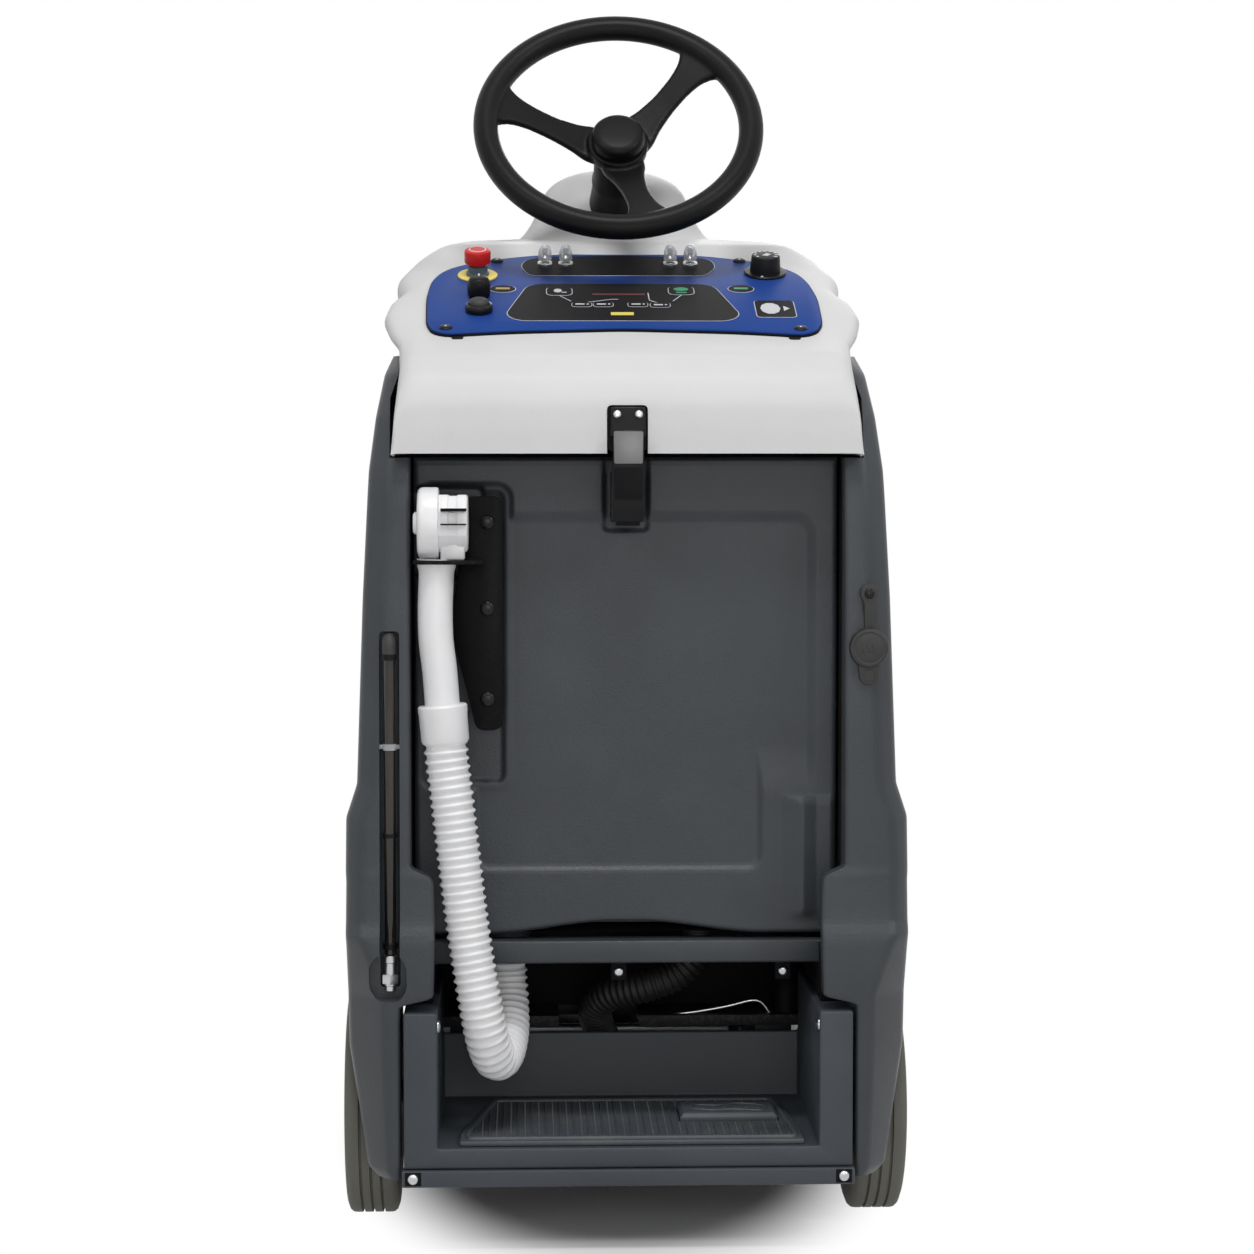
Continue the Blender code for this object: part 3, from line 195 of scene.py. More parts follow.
def rubber(name, colour, rough, grain=700.0, depth=0.0002, dust=0.35, dust_colour=(0.16, 0.15, 0.13)):
    """Matt rubber with dust in patches."""
    f = Finish(name, colour, rough)
    patch = f.noise(22.0, 4.0).ramp(0.42, 0.7)
    fine = f.noise(grain, 2.0)
    base = f.mixed(f.noise(7.0, 2.0), f.shade(0.85), f.shade(1.15))
    f.set("Base Color", f.mixed(patch * fine.ramp(0.35, 0.65) * dust, base, (*dust_colour, 1)))
    f.set("Roughness", rough - 0.05 + 0.1 * fine)
    f.raised(fine, depth)
    return f


def painted(name, colour, rough, chips, shine=0.5):
    """Powder coat: orange peel, and bare metal showing through at worn edges."""
    f = Finish(name, colour, rough, 0.0, shine)
    peel = f.noise(420.0, 2.0)
    cloud = f.noise(6.0, 3.0)
    base = f.mixed(cloud, f.shade(0.88), f.shade(1.12))
    worn = f.pointed().ramp(0.52, 0.6) * f.noise(180.0, 3.0).ramp(0.5, 0.62) * chips
    f.set("Base Color", f.mixed(worn, base, (0.34, 0.34, 0.35, 1)))
    f.set("Roughness", rough - 0.05 + 0.1 * cloud)
    f.raised(peel, 0.00006)
    return f


def white_pipe(name, colour, rough, dirt_and_shade):
    """White plastic with soiled patches, and painted shade that darkens its folds."""
    f = Finish(name, colour, rough)
    patch = f.noise(34.0, 4.0).ramp(0.5, 0.78)
    # painted shade: darker in folds, where shade falls
    fold_shade = f.pointed().ramp(0.5, 0.44)
    dirt_and_fold_shade = (patch * 0.25 + fold_shade * 0.75) * dirt_and_shade
    # soiled patches and the painted fold shade, both drawn towards grey
    f.set("Base Color", f.mixed(dirt_and_fold_shade, f.colour, (0.52, 0.52, 0.51, 1)))
    f.set("Roughness", rough + 0.15 * patch)
    f.raised(f.noise(800.0, 2.0), 0.00008)
    return f


def bristled(name, colour):
    """Stiff fibre tufts, with painted shade darkening the gaps between the fibres."""
    f = Finish(name, colour, 0.9)
    strands_and_gap_shade = f.cells(420.0, f.stretched((1.0, 1.0, 0.06)))
    # painted shade: paler at each fibre's middle, darker in the gaps between fibres
    f.set("Base Color", f.mixed(strands_and_gap_shade.ramp(0.1, 0.7), f.shade(1.5), f.shade(0.45)))
    f.raised(strands_and_gap_shade, 0.0012)
    return f


def tube_clear(name):
    """Old clear tube with a dark brown film inside and brighter edges."""
    f = Finish(name, (0.013, 0.0115, 0.01), 0.16, 0.0, 0.3, 0.4)
    film = f.noise(60.0, 4.0, f.stretched((1.0, 1.0, 0.12)))
    f.set("Base Color", f.mixed(film.ramp(0.35, 0.75), f.shade(0.7), (0.04, 0.031, 0.022, 1)))
    f.set("Roughness", 0.1 + 0.15 * film)
    f.raised(f.noise(90.0, 1.0), 0.0001)
    return f


def clear_boot(name):
    """Clear silicone boot over a switch lever."""
    f = Finish(name, (0.6, 0.61, 0.63), 0.1, coat=0.7)
    haze = f.noise(500.0, 2.0)
    rim = f.node("ShaderNodeLayerWeight", {}, {"Blend": 0.35}, "Facing")
    f.set("Base Color", f.mixed(haze, (0.5, 0.51, 0.53, 1), (0.72, 0.73, 0.75, 1)))
    f.set("Alpha", 0.42 + 0.52 * rim)
    f.set("Roughness", 0.08 + 0.1 * haze)
    f.raised(haze, 0.00005)
    return f


FINISHES = {
    "body": moulded("body_plastic", (0.046, 0.0515, 0.058), 0.33, 820.0, 0.0003, 0.09, shine=0.3),
    "tray": moulded("tray_plastic", (0.052, 0.06, 0.07), 0.42, 620.0, 0.00012, 0.08, 0.15, shine=0.28),
    "dash": moulded("dash_plastic", (0.68, 0.68, 0.68), 0.46, 760.0, 0.00012, 0.012, 0.0, shine=0.2),
    "black": moulded("black_plastic", (0.009, 0.009, 0.01), 0.36, 900.0, 0.0001, 0.2, 0.1, shine=0.12),
    "gloss": moulded("gloss_black", (0.008, 0.008, 0.009), 0.24, 500.0, 0.00002, 0.15, 0.05, shine=0.22),
    "wheel": moulded("wheel_foam", (0.0065, 0.0065, 0.0067), 0.34, 1300.0, 0.00012, 0.15, 0.1, shine=0.11),
    "case": moulded("battery_case", (0.01, 0.0105, 0.012), 0.5, 700.0, 0.00015, 0.15, shine=0.15),
    "film": moulded("panel_film", (0.0125, 0.052, 0.25), 0.5, 1500.0, 0.00003, 0.05, 0.0, shine=0.08),
    # black for print, and for the slabs that stand in as painted shade in recesses and in the bay
    "ink": moulded("black_ink_and_shade", (0.009, 0.009, 0.01), 0.5, 1500.0, 0.00003, 0.1, 0.0, shine=0.05),
    "line": moulded("pale_ink", (0.62, 0.64, 0.66), 0.5, 1200.0, 0.00002, 0.03, 0.0, shine=0.1),
    "red": moulded("red_plastic", (0.6, 0.012, 0.012), 0.36, 700.0, 0.00003, 0.06, 0.0, shine=0.3),
    "yellow": moulded("yellow_plastic", (0.83, 0.66, 0.13), 0.45, 700.0, 0.00003, 0.04, 0.0),
    "dark_red": moulded("dark_red_ink", (0.09, 0.012, 0.012), 0.5, 900.0, 0.00002, 0.1, 0.0),
    "green": moulded("green_ink", (0.02, 0.24, 0.12), 0.5, 900.0, 0.00002, 0.1, 0.0),
    "gold": moulded("gold_ink", (0.42, 0.27, 0.06), 0.5, 900.0, 0.00002, 0.15, 0.0),
    "collar": moulded("collar_plastic", (0.08, 0.125, 0.16), 0.35, 800.0, 0.00003, 0.08, 0.0),
    "white": white_pipe("white_plastic", (0.88, 0.88, 0.89), 0.3, 0.25),
    "hose": white_pipe("white_hose", (0.88, 0.88, 0.89), 0.4, 0.75),
    "natural": moulded("tank_natural", (0.46, 0.47, 0.46), 0.42, 500.0, 0.00012, 0.05),
    "frame": painted("frame_paint", (0.01, 0.01, 0.011), 0.5, 0.1, shine=0.15),
    "bracket": painted("bracket_paint", (0.006, 0.006, 0.0062), 0.38, 0.04, shine=0.06),
    "rim": painted("rim_paint", (0.29, 0.3, 0.31), 0.42, 0.4),
    "deck": painted("deck_paint", (0.075, 0.082, 0.09), 0.45, 0.4),
    "steel": metallic("bright_steel", (0.5, 0.51, 0.52), 0.26),
    "lever": metallic("lever_metal", (0.15, 0.15, 0.152), 0.38, (6.0, 6.0, 6.0), 420.0, 0.75),
    "alloy": metallic("squeegee_alloy", (0.5, 0.51, 0.53), 0.36, (12.0, 1.0, 1.0)),
    "tyre": rubber("tyre", (0.13, 0.128, 0.108), 0.8, 500.0, 0.00025, 0.45, (0.15, 0.14, 0.12)),
    "mat": rubber("mat_rubber", (0.058, 0.066, 0.076), 0.5, 900.0, 0.00018, 0.35),
    "rubber": rubber("black_rubber", (0.014, 0.014, 0.014), 0.6, 900.0, 0.00012, 0.12),
    "hose_black": rubber("black_hose", (0.005, 0.005, 0.005), 0.62, 700.0, 0.0001, 0.1),
    "blade": rubber("blade_rubber", (0.3, 0.055, 0.03), 0.6, 600.0, 0.0001, 0.2),
    "fibre": bristled("brush_fibre", (0.03, 0.065, 0.15)),
    "tube": tube_clear("clear_tube"),
    "boot": clear_boot("clear_boot"),
}


# ---------------------------------------------------------------- modelling in code
def fresh():
    """Object mode with nothing selected."""
    if bpy.context.mode != "OBJECT":
        bpy.ops.object.mode_set(mode="OBJECT")
    bpy.ops.object.select_all(action="DESELECT")


def only(piece):
    fresh()
    piece.select_set(True)
    bpy.context.view_layer.objects.active = piece


def edit(piece, chosen="SELECT"):
    only(piece)
    bpy.ops.object.mode_set(mode="EDIT")
    bpy.ops.mesh.select_all(action=chosen)


def done():
    bpy.ops.object.mode_set(mode="OBJECT")
    return bpy.context.active_object


def pose_at(piece, origin, way, across=(1, 0, 0)):
    """Stands a piece modelled along Z at its place, and leaves its object at the origin."""
    z = Vector(way).normalized()
    x = Vector(across)
    x = (x - x.dot(z) * z).normalized()
    turn = Matrix((x, z.cross(x), z)).transposed().to_4x4()
    piece.matrix_world = Matrix.Translation(Vector(origin)) @ turn
    only(piece)
    bpy.ops.object.transform_apply(location=True, rotation=True, scale=True)
    return piece


def outward(piece):
    edit(piece)
    bpy.ops.mesh.remove_doubles(threshold=TOUCHING)
    bpy.ops.mesh.normals_make_consistent(inside=False)
    return done()


def apply(piece, kind, **settings):
    only(piece)
    mod = piece.modifiers.new(kind.lower(), kind)
    for key, value in settings.items():
        setattr(mod, key, value)
    bpy.ops.object.modifier_apply(modifier=mod.name)
    return piece


def eased_edges(piece, width, segments=3, angle=32.0):
    limit = math.radians(angle)
    settings = {"width": width, "segments": segments, "limit_method": "ANGLE", "angle_limit": limit}
    return apply(piece, "BEVEL", miter_outer="MITER_ARC", use_clamp_overlap=True, **settings)


def cut(piece, tool):
    apply(piece, "BOOLEAN", operation="DIFFERENCE", solver="EXACT", object=tool)
    bpy.data.objects.remove(tool)
    return piece


def block(low, high, ease=0.0, segments=3):
    fresh()
    low = Vector(low)
    high = Vector(high)
    bpy.ops.mesh.primitive_cube_add(size=1, location=(low + high) / 2, scale=high - low)
    bpy.ops.object.transform_apply(location=True, rotation=True, scale=True)
    piece = bpy.context.active_object
    if ease:
        eased_edges(piece, ease, segments)
    return piece


def turned(profile, origin=(0, 0, 0), way=(0, 0, 1), segs=48, across=(1, 0, 0), ease=0.0):
    """A round piece: a disc at the first (radius, height), pushed on and resized at each next one."""
    fresh()
    radius, height = profile[0]
    bpy.ops.mesh.primitive_circle_add(vertices=segs, radius=radius, fill_type="NGON")
    bpy.ops.object.mode_set(mode="EDIT")
    bpy.ops.transform.translate(value=(0, 0, height))
    for r, h in profile[1:]:
        bpy.ops.mesh.extrude_region_move(TRANSFORM_OT_translate={"value": (0, 0, h - height)})
        share = r / radius
        bpy.ops.transform.resize(value=(share, share, 1), center_override=(0, 0, h))
        radius = r
        height = h
    piece = outward(done())
    if ease:
        eased_edges(piece, ease, 3)
    return pose_at(piece, origin, way, across)


def outlined(points, push):
    """A flat face through the points, pushed along a vector into a slab."""
    fresh()
    bpy.ops.mesh.primitive_circle_add(vertices=len(points), fill_type="NGON")
    piece = bpy.context.active_object
    piece.data.vertices.foreach_set("co", np.array([tuple(p) for p in points], np.float32).ravel())
    bpy.ops.object.mode_set(mode="EDIT")
    bpy.ops.mesh.select_all(action="SELECT")
    bpy.ops.mesh.extrude_region_move(TRANSFORM_OT_translate={"value": tuple(push)})
    return outward(done())


def rounded(corners, radius, steps=5):
    """A closed 2-D outline with each corner turned through an arc-like curve."""
    points = []
    count = len(corners)
    for i, corner in enumerate(corners):
        here = Vector(corner)
        before = Vector(corners[i - 1]) - here
        after = Vector(corners[(i + 1) % count]) - here
        reach = min(radius, 0.49 * before.length, 0.49 * after.length)
        a = here + before.normalized() * reach
        b = here + after.normalized() * reach
        for k in range(steps + 1):
            t = k / steps
            points.append((1 - t) ** 2 * a + 2 * t * (1 - t) * here + t * t * b)
    return points


def rectangle(left, low, right, high):
    return ((left, low), (right, low), (right, high), (left, high))


def skinned(rows, closed=True, capped=True):
    """A grid bent to rows of points. Closed rows join end to start, and capped ends are filled."""
    grid = np.array([[tuple(p) for p in row] for row in rows], float)
    if closed:
        grid = np.concatenate([grid, grid[:, :1]], axis=1)
    along, across = grid.shape[:2]
    fresh()
    bpy.ops.mesh.primitive_grid_add(x_subdivisions=across - 1, y_subdivisions=along - 1, size=1)
    piece = bpy.context.active_object
    piece.data.vertices.foreach_set("co", grid.astype(np.float32).ravel())
    edit(piece)
    bpy.ops.mesh.remove_doubles(threshold=TOUCHING)
    if capped:
        bpy.ops.mesh.select_all(action="SELECT")
        bpy.ops.mesh.fill_holes(sides=0)
    bpy.ops.mesh.select_all(action="SELECT")
    bpy.ops.mesh.normals_make_consistent(inside=False)
    return done()


def dense(rows, across, along):
    """Rows filled in by straight steps: across[i] in each span of a row, along[i] between rows."""
    rows = np.array([[tuple(p) for p in row] for row in rows], float)
    wide = [rows[:, :1]]
    for i, steps in enumerate(across):
        for k in range(1, steps + 1):
            t = k / steps
            wide.append((1 - t) * rows[:, i : i + 1] + t * rows[:, i + 1 : i + 2])
    wide = np.concatenate(wide, axis=1)
    full = [wide[:1]]
    for i, steps in enumerate(along):
        for k in range(1, steps + 1):
            t = k / steps
            full.append((1 - t) * wide[i : i + 1] + t * wide[i + 1 : i + 2])
    return np.concatenate(full, axis=0)


def eased(grid, across, along):
    """Rounds a dense grid: each pass draws a point towards its two neighbours, with the border kept."""
    grid = grid.copy()
    for _ in range(across):
        grid[:, 1:-1] = (grid[:, :-2] + 2 * grid[:, 1:-1] + grid[:, 2:]) / 4
    for _ in range(along):
        grid[1:-1] = (grid[:-2] + 2 * grid[1:-1] + grid[2:]) / 4
    return grid


def along_curve(points, spacing):
    """Points along a smooth curve through the given ones, close to even spacing."""
    pts = [Vector(p) for p in points]
    pts = [2 * pts[0] - pts[1]] + pts + [2 * pts[-1] - pts[-2]]
    fine = []
    for a, b, c, d in zip(pts, pts[1:], pts[2:], pts[3:]):
        for k in range(24):
            t = k / 24
            bend = (2 * a - 5 * b + 4 * c - d) * t**2 + (3 * b - a - 3 * c + d) * t**3
            fine.append(0.5 * (2 * b + (c - a) * t + bend))
    fine.append(pts[-2])
    reach = np.cumsum([0.0] + [(q - p).length for p, q in zip(fine, fine[1:])])
    count = max(2, round(reach[-1] / spacing))
    wanted = np.linspace(0, reach[-1], count + 1)
    flat = np.array([tuple(p) for p in fine])
    return [Vector(p) for p in zip(*(np.interp(wanted, reach, flat[:, i]) for i in range(3)))]


def tube(path, radii, segs):
    """A round skin along a path, with one radius for each point."""
    rows = []
    side = Vector((1, 0, 0))
    for i, at in enumerate(path):
        way = (path[min(i + 1, len(path) - 1)] - path[max(i - 1, 0)]).normalized()
        side = (side - side.dot(way) * way).normalized()
        up = way.cross(side)
        angles = [2 * math.pi * k / segs for k in range(segs)]
        rows.append([at + radii[i] * (math.cos(a) * side + math.sin(a) * up) for a in angles])
    return skinned(rows)


def join(pieces):
    fresh()
    for piece in pieces:
        piece.select_set(True)
    bpy.context.view_layer.objects.active = pieces[0]
    bpy.ops.object.join()
    return pieces[0]


def traced(node):
    """A merged copy of a CAD node, with its flat faces whole, ready for softer edges."""
    source = frame["nodes"][node]
    piece = bpy.data.objects.new(node + "_shape", source.data.copy())
    bpy.context.scene.collection.objects.link(piece)
    edit(piece)
    bpy.ops.mesh.remove_doubles(threshold=TOUCHING)
    bpy.ops.mesh.dissolve_limited(angle_limit=math.radians(1.0))
    bpy.ops.mesh.normals_make_consistent(inside=False)
    piece = done()
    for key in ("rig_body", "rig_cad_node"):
        if key in piece:
            del piece[key]
    return piece


def ready(piece, name, body, finish, stands_for=(), angle=38.0):
    """Names, finishes and shades a piece, and has it ride on its body."""
    piece.name = name
    piece.data.name = name
    piece.data.materials.clear()
    piece.data.materials.append(FINISHES[finish].material)
    only(piece)
    bpy.ops.object.shade_smooth_by_angle(angle=math.radians(angle))
    for mod in list(piece.modifiers):
        bpy.ops.object.modifier_apply(modifier=mod.name)
    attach(piece, body)
    if stands_for:
        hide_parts(*stands_for)
    return piece


def softened(node, name, body, finish, slot, ease, segments=3, angle=32.0):
    """The CAD node's own shape with its edges rounded."""
    piece = traced(node)
    eased_edges(piece, ease, segments, angle)
    return ready(piece, name, body, finish, (node,))


def on_panel(x, v, h=0.0):
    return Vector((x, PANEL_Y, PANEL_Z)) + v * UP_SLOPE + h * NORMAL


def laid(outline, h):
    """A flat outline laid on the panel, h above it."""
    return [on_panel(p[0], p[1], h) for p in outline]


def upright(outline, y):
    """A flat outline stood up, facing the rear."""
    return [(p[0], y, p[1]) for p in outline]


def side_block(side, near, far, low, high, ease=0.0):
    """A block on one side, between two distances from the middle and two (y, z) corners."""
    ends = sorted((side * near, side * far))
    return block((ends[0], *low), (ends[1], *high), ease)


# ---------------------------------------------------------------- camera, light, floor
def camera():
    fresh()
    bpy.ops.object.camera_add(location=(-0.108, -3.61, 0.845))
    eye = bpy.context.active_object
    eye.rotation_euler = (math.radians(90 - 3.64), 0, math.radians(-2.02))
    eye.data.lens = 83.97
    eye.data.sensor_width = 36.0
    bpy.context.scene.camera = eye


def lamp(name, place, aim, size, power):
    fresh()
    bpy.ops.object.light_add(type="AREA", location=place)
    made = bpy.context.active_object
    made.name = name
    made.data.shape = "RECTANGLE"
    made.data.size = size[0]
    made.data.size_y = size[1]
    made.data.energy = power
    made.rotation_mode = "QUATERNION"
    made.rotation_quaternion = (Vector(place) - Vector(aim)).to_track_quat("Z", "Y")


def seen_rays(tree):
    """A mask of the rays that see the backdrop: camera, mirror and glass rays."""
    path = tree.nodes.new("ShaderNodeLightPath")
    total = None
    for ray in ("Is Camera Ray", "Is Glossy Ray", "Is Transmission Ray"):
        if total is None:
            total = path.outputs[ray]
            continue
        both = tree.nodes.new("ShaderNodeMath")
        both.operation = "MAXIMUM"
        tree.links.new(total, both.inputs[0])
        tree.links.new(path.outputs[ray], both.inputs[1])
        total = both.outputs[0]
    return total


def world():
    sky = bpy.context.scene.world or bpy.data.worlds.new("studio")
    bpy.context.scene.world = sky
    sky.use_nodes = True
    tree = sky.node_tree
    tree.nodes.clear()
    out = tree.nodes.new("ShaderNodeOutputWorld")
    mix = tree.nodes.new("ShaderNodeMixShader")
    dim = tree.nodes.new("ShaderNodeBackground")
    white = tree.nodes.new("ShaderNodeBackground")
    dim.inputs["Strength"].default_value = WORLD_LIGHT
    dim.inputs["Color"].default_value = (1, 1, 1, 1)
    white.inputs["Color"].default_value = (1, 1, 1, 1)
    tree.links.new(seen_rays(tree), mix.inputs[0])
    tree.links.new(dim.outputs[0], mix.inputs[1])
    tree.links.new(white.outputs[0], mix.inputs[2])
    tree.links.new(mix.outputs[0], out.inputs["Surface"])


def floor():
    """A pale floor that keeps the shadow near the machine and turns white away from it."""
    fresh()
    bpy.ops.mesh.primitive_grid_add(x_subdivisions=8, y_subdivisions=8, size=40)
    ground = bpy.context.active_object
    ground.name = "studio_floor"
    f = Finish("floor_card", (0.9, 0.9, 0.905), 0.9)
    f.set("Roughness", 0.85 + 0.1 * f.noise(3.0))
    near = f.node("ShaderNodeVectorMath", {"operation": "LENGTH"}, {0: f.stretched((1.9, 0.8, 0.0))}, "Value")
    far = near.ramp(0.42, 0.66)
    tree = f.tree
    glow = tree.nodes.new("ShaderNodeEmission")
    mix = tree.nodes.new("ShaderNodeMixShader")
    both = Value(f, seen_rays(tree)) * far
    tree.links.new(both.socket, mix.inputs[0])
    tree.links.new(f.shader.outputs[0], mix.inputs[1])
    tree.links.new(glow.outputs[0], mix.inputs[2])
    tree.links.new(mix.outputs[0], tree.nodes["Material Output"].inputs["Surface"])
    ground.data.materials.append(f.material)


WORLD_LIGHT = 0.2
camera()
world()
floor()
lamp("key_left", (-2.2, -2.8, 3.0), (0, -0.4, 0.6), (0.8, 0.8), 19)
lamp("key_right", (2.5, -2.5, 2.9), (0, -0.4, 0.6), (0.8, 0.8), 27)
lamp("low_fill", (0.2, -3.6, 1.1), (0, -0.4, 0.5), (1.2, 1.0), 12)
lamp("top_box", (0.0, -1.5, 3.1), (0, -0.5, 0.5), (1.0, 0.45), 31)
lamp("front_fill", (0.6, 3.2, 2.2), (0, 0.2, 0.6), (1.8, 1.8), 26)
bpy.context.scene.view_settings.view_transform = "Standard"


# ---------------------------------------------------------------- hoses
DRAIN_ROUTE = (
    (-0.1903, HOSE_Y, 0.5364), (-0.1885, HOSE_Y, 0.5135), (-0.1834, HOSE_Y, 0.4716),
    (-0.1774, HOSE_Y, 0.4191), (-0.1713, HOSE_Y, 0.3665), (-0.1642, HOSE_Y, 0.3137),
    (-0.1555, -0.574, 0.2608), (-0.148, -0.566, 0.22), (-0.1395, -0.545, 0.1935),
    (-0.1315, -0.517, 0.1925), (-0.1265, -0.485, 0.21), (-0.1268, -0.461, 0.237),
    (-0.1283, -0.4505, 0.264), (-0.1285, -0.45, 0.293),
)
SUCTION_ROUTE = (
    (0.0, -0.262, 0.0998), (0.0, -0.262, 0.118), (-0.01, -0.276, 0.145), (-0.024, -0.31, 0.178),
    (-0.028, -0.343, 0.208), (-0.01, -0.37, 0.228), (0.028, -0.387, 0.24), (0.062, -0.386, 0.254),
    (0.083, -0.379, 0.28), (0.086, -0.378, 0.305),
)


def corrugated(route, diameter, pitch, depth, sharp):
    """A ribbed hose: rings every pitch, with narrow crests where sharp is high."""
    path = along_curve(route, pitch / 8)
    length = sum((q - p).length for p, q in zip(path, path[1:]))
    ribs = round(length / pitch)
    radii = []
    for i in range(len(path)):
        turn = 2 * math.pi * ribs * i / (len(path) - 1)
        crest = (0.5 - 0.5 * math.cos(turn)) ** sharp
        radii.append(diameter / 2 - depth * (1 - crest))
    return tube(path, radii, 40), path, length


def hoses():
    piece, path, length = corrugated(DRAIN_ROUTE, DRAIN_HOSE_D, 0.0093, 0.003, 1.9)
    ready(piece, "drain_hose_ribbed", "tank", "hose", ("drain_hose",), 80.0)
    piece, path, length = corrugated(SUCTION_ROUTE, SUCTION_HOSE_D, 0.007, 0.002, 1.3)
    ready(piece, "suction_hose_ribbed", "chassis", "hose_black", ("suction_hose",), 80.0)


hoses()


# ---------------------------------------------------------------- more ways to make a shape
def spun(profile, origin, way, segs=72, across=(1, 0, 0)):
    """A closed outline of (radius, height) carried once round a line."""
    rows = []
    for k in range(segs + 1):
        a = 2 * math.pi * k / segs
        rows.append([(r * math.cos(a), r * math.sin(a), h) for r, h in profile])
    return pose_at(skinned(rows, True, False), origin, way, across)


def bent(corners, radii):
    """An open flat line through the corners, each turned within its own radius."""
    steps = 4
    points = [Vector(corners[0])]
    for before, here, after, radius in zip(corners, corners[1:], corners[2:], radii):
        here = Vector(here)
        back = Vector(before) - here
        on = Vector(after) - here
        a = here + back.normalized() * min(radius, 0.45 * back.length)
        b = here + on.normalized() * min(radius, 0.45 * on.length)
        for k in range(steps + 1):
            t = k / steps
            points.append((1 - t) ** 2 * a + 2 * t * (1 - t) * here + t * t * b)
    points.append(Vector(corners[-1]))
    return points


def resampled(table, spacing, passes):
    """The rows of a table at even first values, with each corner in the others eased."""
    table = np.array(table, float)
    count = round((table[-1, 0] - table[0, 0]) / spacing)
    heights = np.linspace(table[0, 0], table[-1, 0], count + 1)
    grid = np.stack([np.interp(heights, table[:, 0], table[:, i]) for i in range(1, table.shape[1])], 1)
    for _ in range(passes):
        grid[1:-1] = (grid[:-2] + 2 * grid[1:-1] + grid[2:]) / 4
    return [(z, *row) for z, row in zip(heights, grid)]


def thinned(rows, slack):
    """The rows without those that lie on the line between their neighbours."""
    rows = [np.array(row) for row in rows]
    kept = [rows[0]]
    last = 0
    for i in range(1, len(rows) - 1):
        share = rows[i + 1][0] - rows[last][0]
        worst = 0.0
        for k in range(last + 1, i + 1):
            t = (rows[k][0] - rows[last][0]) / share
            line = rows[last] + t * (rows[i + 1] - rows[last])
            worst = max(worst, np.abs(line - rows[k])[1:].max())
        if worst > slack:
            kept.append(rows[i])
            last = i
    return kept + [rows[-1]]


def thick(piece, wall):
    return apply(piece, "SOLIDIFY", thickness=wall, offset=-1.0, use_even_offset=False)


def beyond(x, z, low, high, radius):
    """How far each point lies beyond a round-cornered rectangle. Negative inside."""
    dx = np.abs(x - (low[0] + high[0]) / 2) - (high[0] - low[0]) / 2 + radius
    dz = np.abs(z - (low[1] + high[1]) / 2) - (high[1] - low[1]) / 2 + radius
    return np.hypot(np.maximum(dx, 0), np.maximum(dz, 0)) + np.minimum(np.maximum(dx, dz), 0) - radius


def inside(far, width=0.005):
    """1 where far is well below 0, and 0 where it is well above."""
    t = np.clip(0.5 - far / width, 0, 1)
    return t * t * (3 - 2 * t)


# ---------------------------------------------------------------- side covers
# height, outer x, inner x, rear y, chamfer across, chamfer along
SIDE_LEVELS = (
    (0.076, 0.262, 0.2375, -0.598, 0.016, 0.02),
    (0.084, 0.2735, 0.2375, -0.6, 0.024, 0.03),
    (0.21, 0.293, 0.2375, -0.6, 0.039, 0.045),
    (0.2605, 0.294, 0.2375, -0.6, 0.04, 0.046),
    (0.2645, 0.294, 0.203, -0.6, 0.04, 0.046),
    (0.32, 0.2945, 0.2015, -0.6, 0.021, 0.022),
    (0.33, 0.295, 0.2015, -0.599, 0.017, 0.018),
    (0.344, 0.295, 0.2015, -0.59, 0.016, 0.016),
    (0.386, 0.2945, 0.2025, -0.588, 0.016, 0.016),
    (0.394, 0.295, 0.2065, -0.588, 0.016, 0.016),
    (0.4, 0.295, 0.226, -0.587, 0.016, 0.016),
    (0.452, 0.2945, 0.226, -0.585, 0.018, 0.018),
    (0.487, 0.283, 0.226, -0.584, 0.02, 0.018),
    (0.68, 0.2765, 0.226, -0.577, 0.021, 0.018),
    (0.79, 0.2712, 0.226, -0.5675, 0.022, 0.018),
    (0.814, 0.27, 0.226, -0.563, 0.022, 0.018),
    (0.87, 0.263, 0.226, -0.548, 0.018, 0.018),
    (0.915, 0.2545, 0.226, -0.523, 0.012, 0.016),
    (0.935, 0.2465, 0.226, -0.49, 0.008, 0.012),
)
COVER_FRONT_Y = 0.0197


def side_rows(side):
    rows = []
    for z, outer, inner, rear, cx, cy in thinned(resampled(SIDE_LEVELS, 0.0024, 2), 0.00005):
        wall = max(inner + 0.0006, 0.2264)
        flange = rear + 0.02
        deep = rear + max(0.03, cy + 0.012)
        line = ((outer, COVER_FRONT_Y), (outer, rear + cy), (outer - cx, rear), (inner, rear),
                (inner, flange), (wall, flange), (wall, -0.48), (wall + 0.005, -0.48),
                (wall + 0.005, deep), (outer - 0.006, deep), (outer - 0.006, COVER_FRONT_Y))
        turns = (0.008, 0.008, 0.005, 0.003, 0.003, 0.001, 0.001, 0.001, 0.001)
        rows.append([(side * p.x, p.y, z) for p in bent(line, turns)])
    return rows


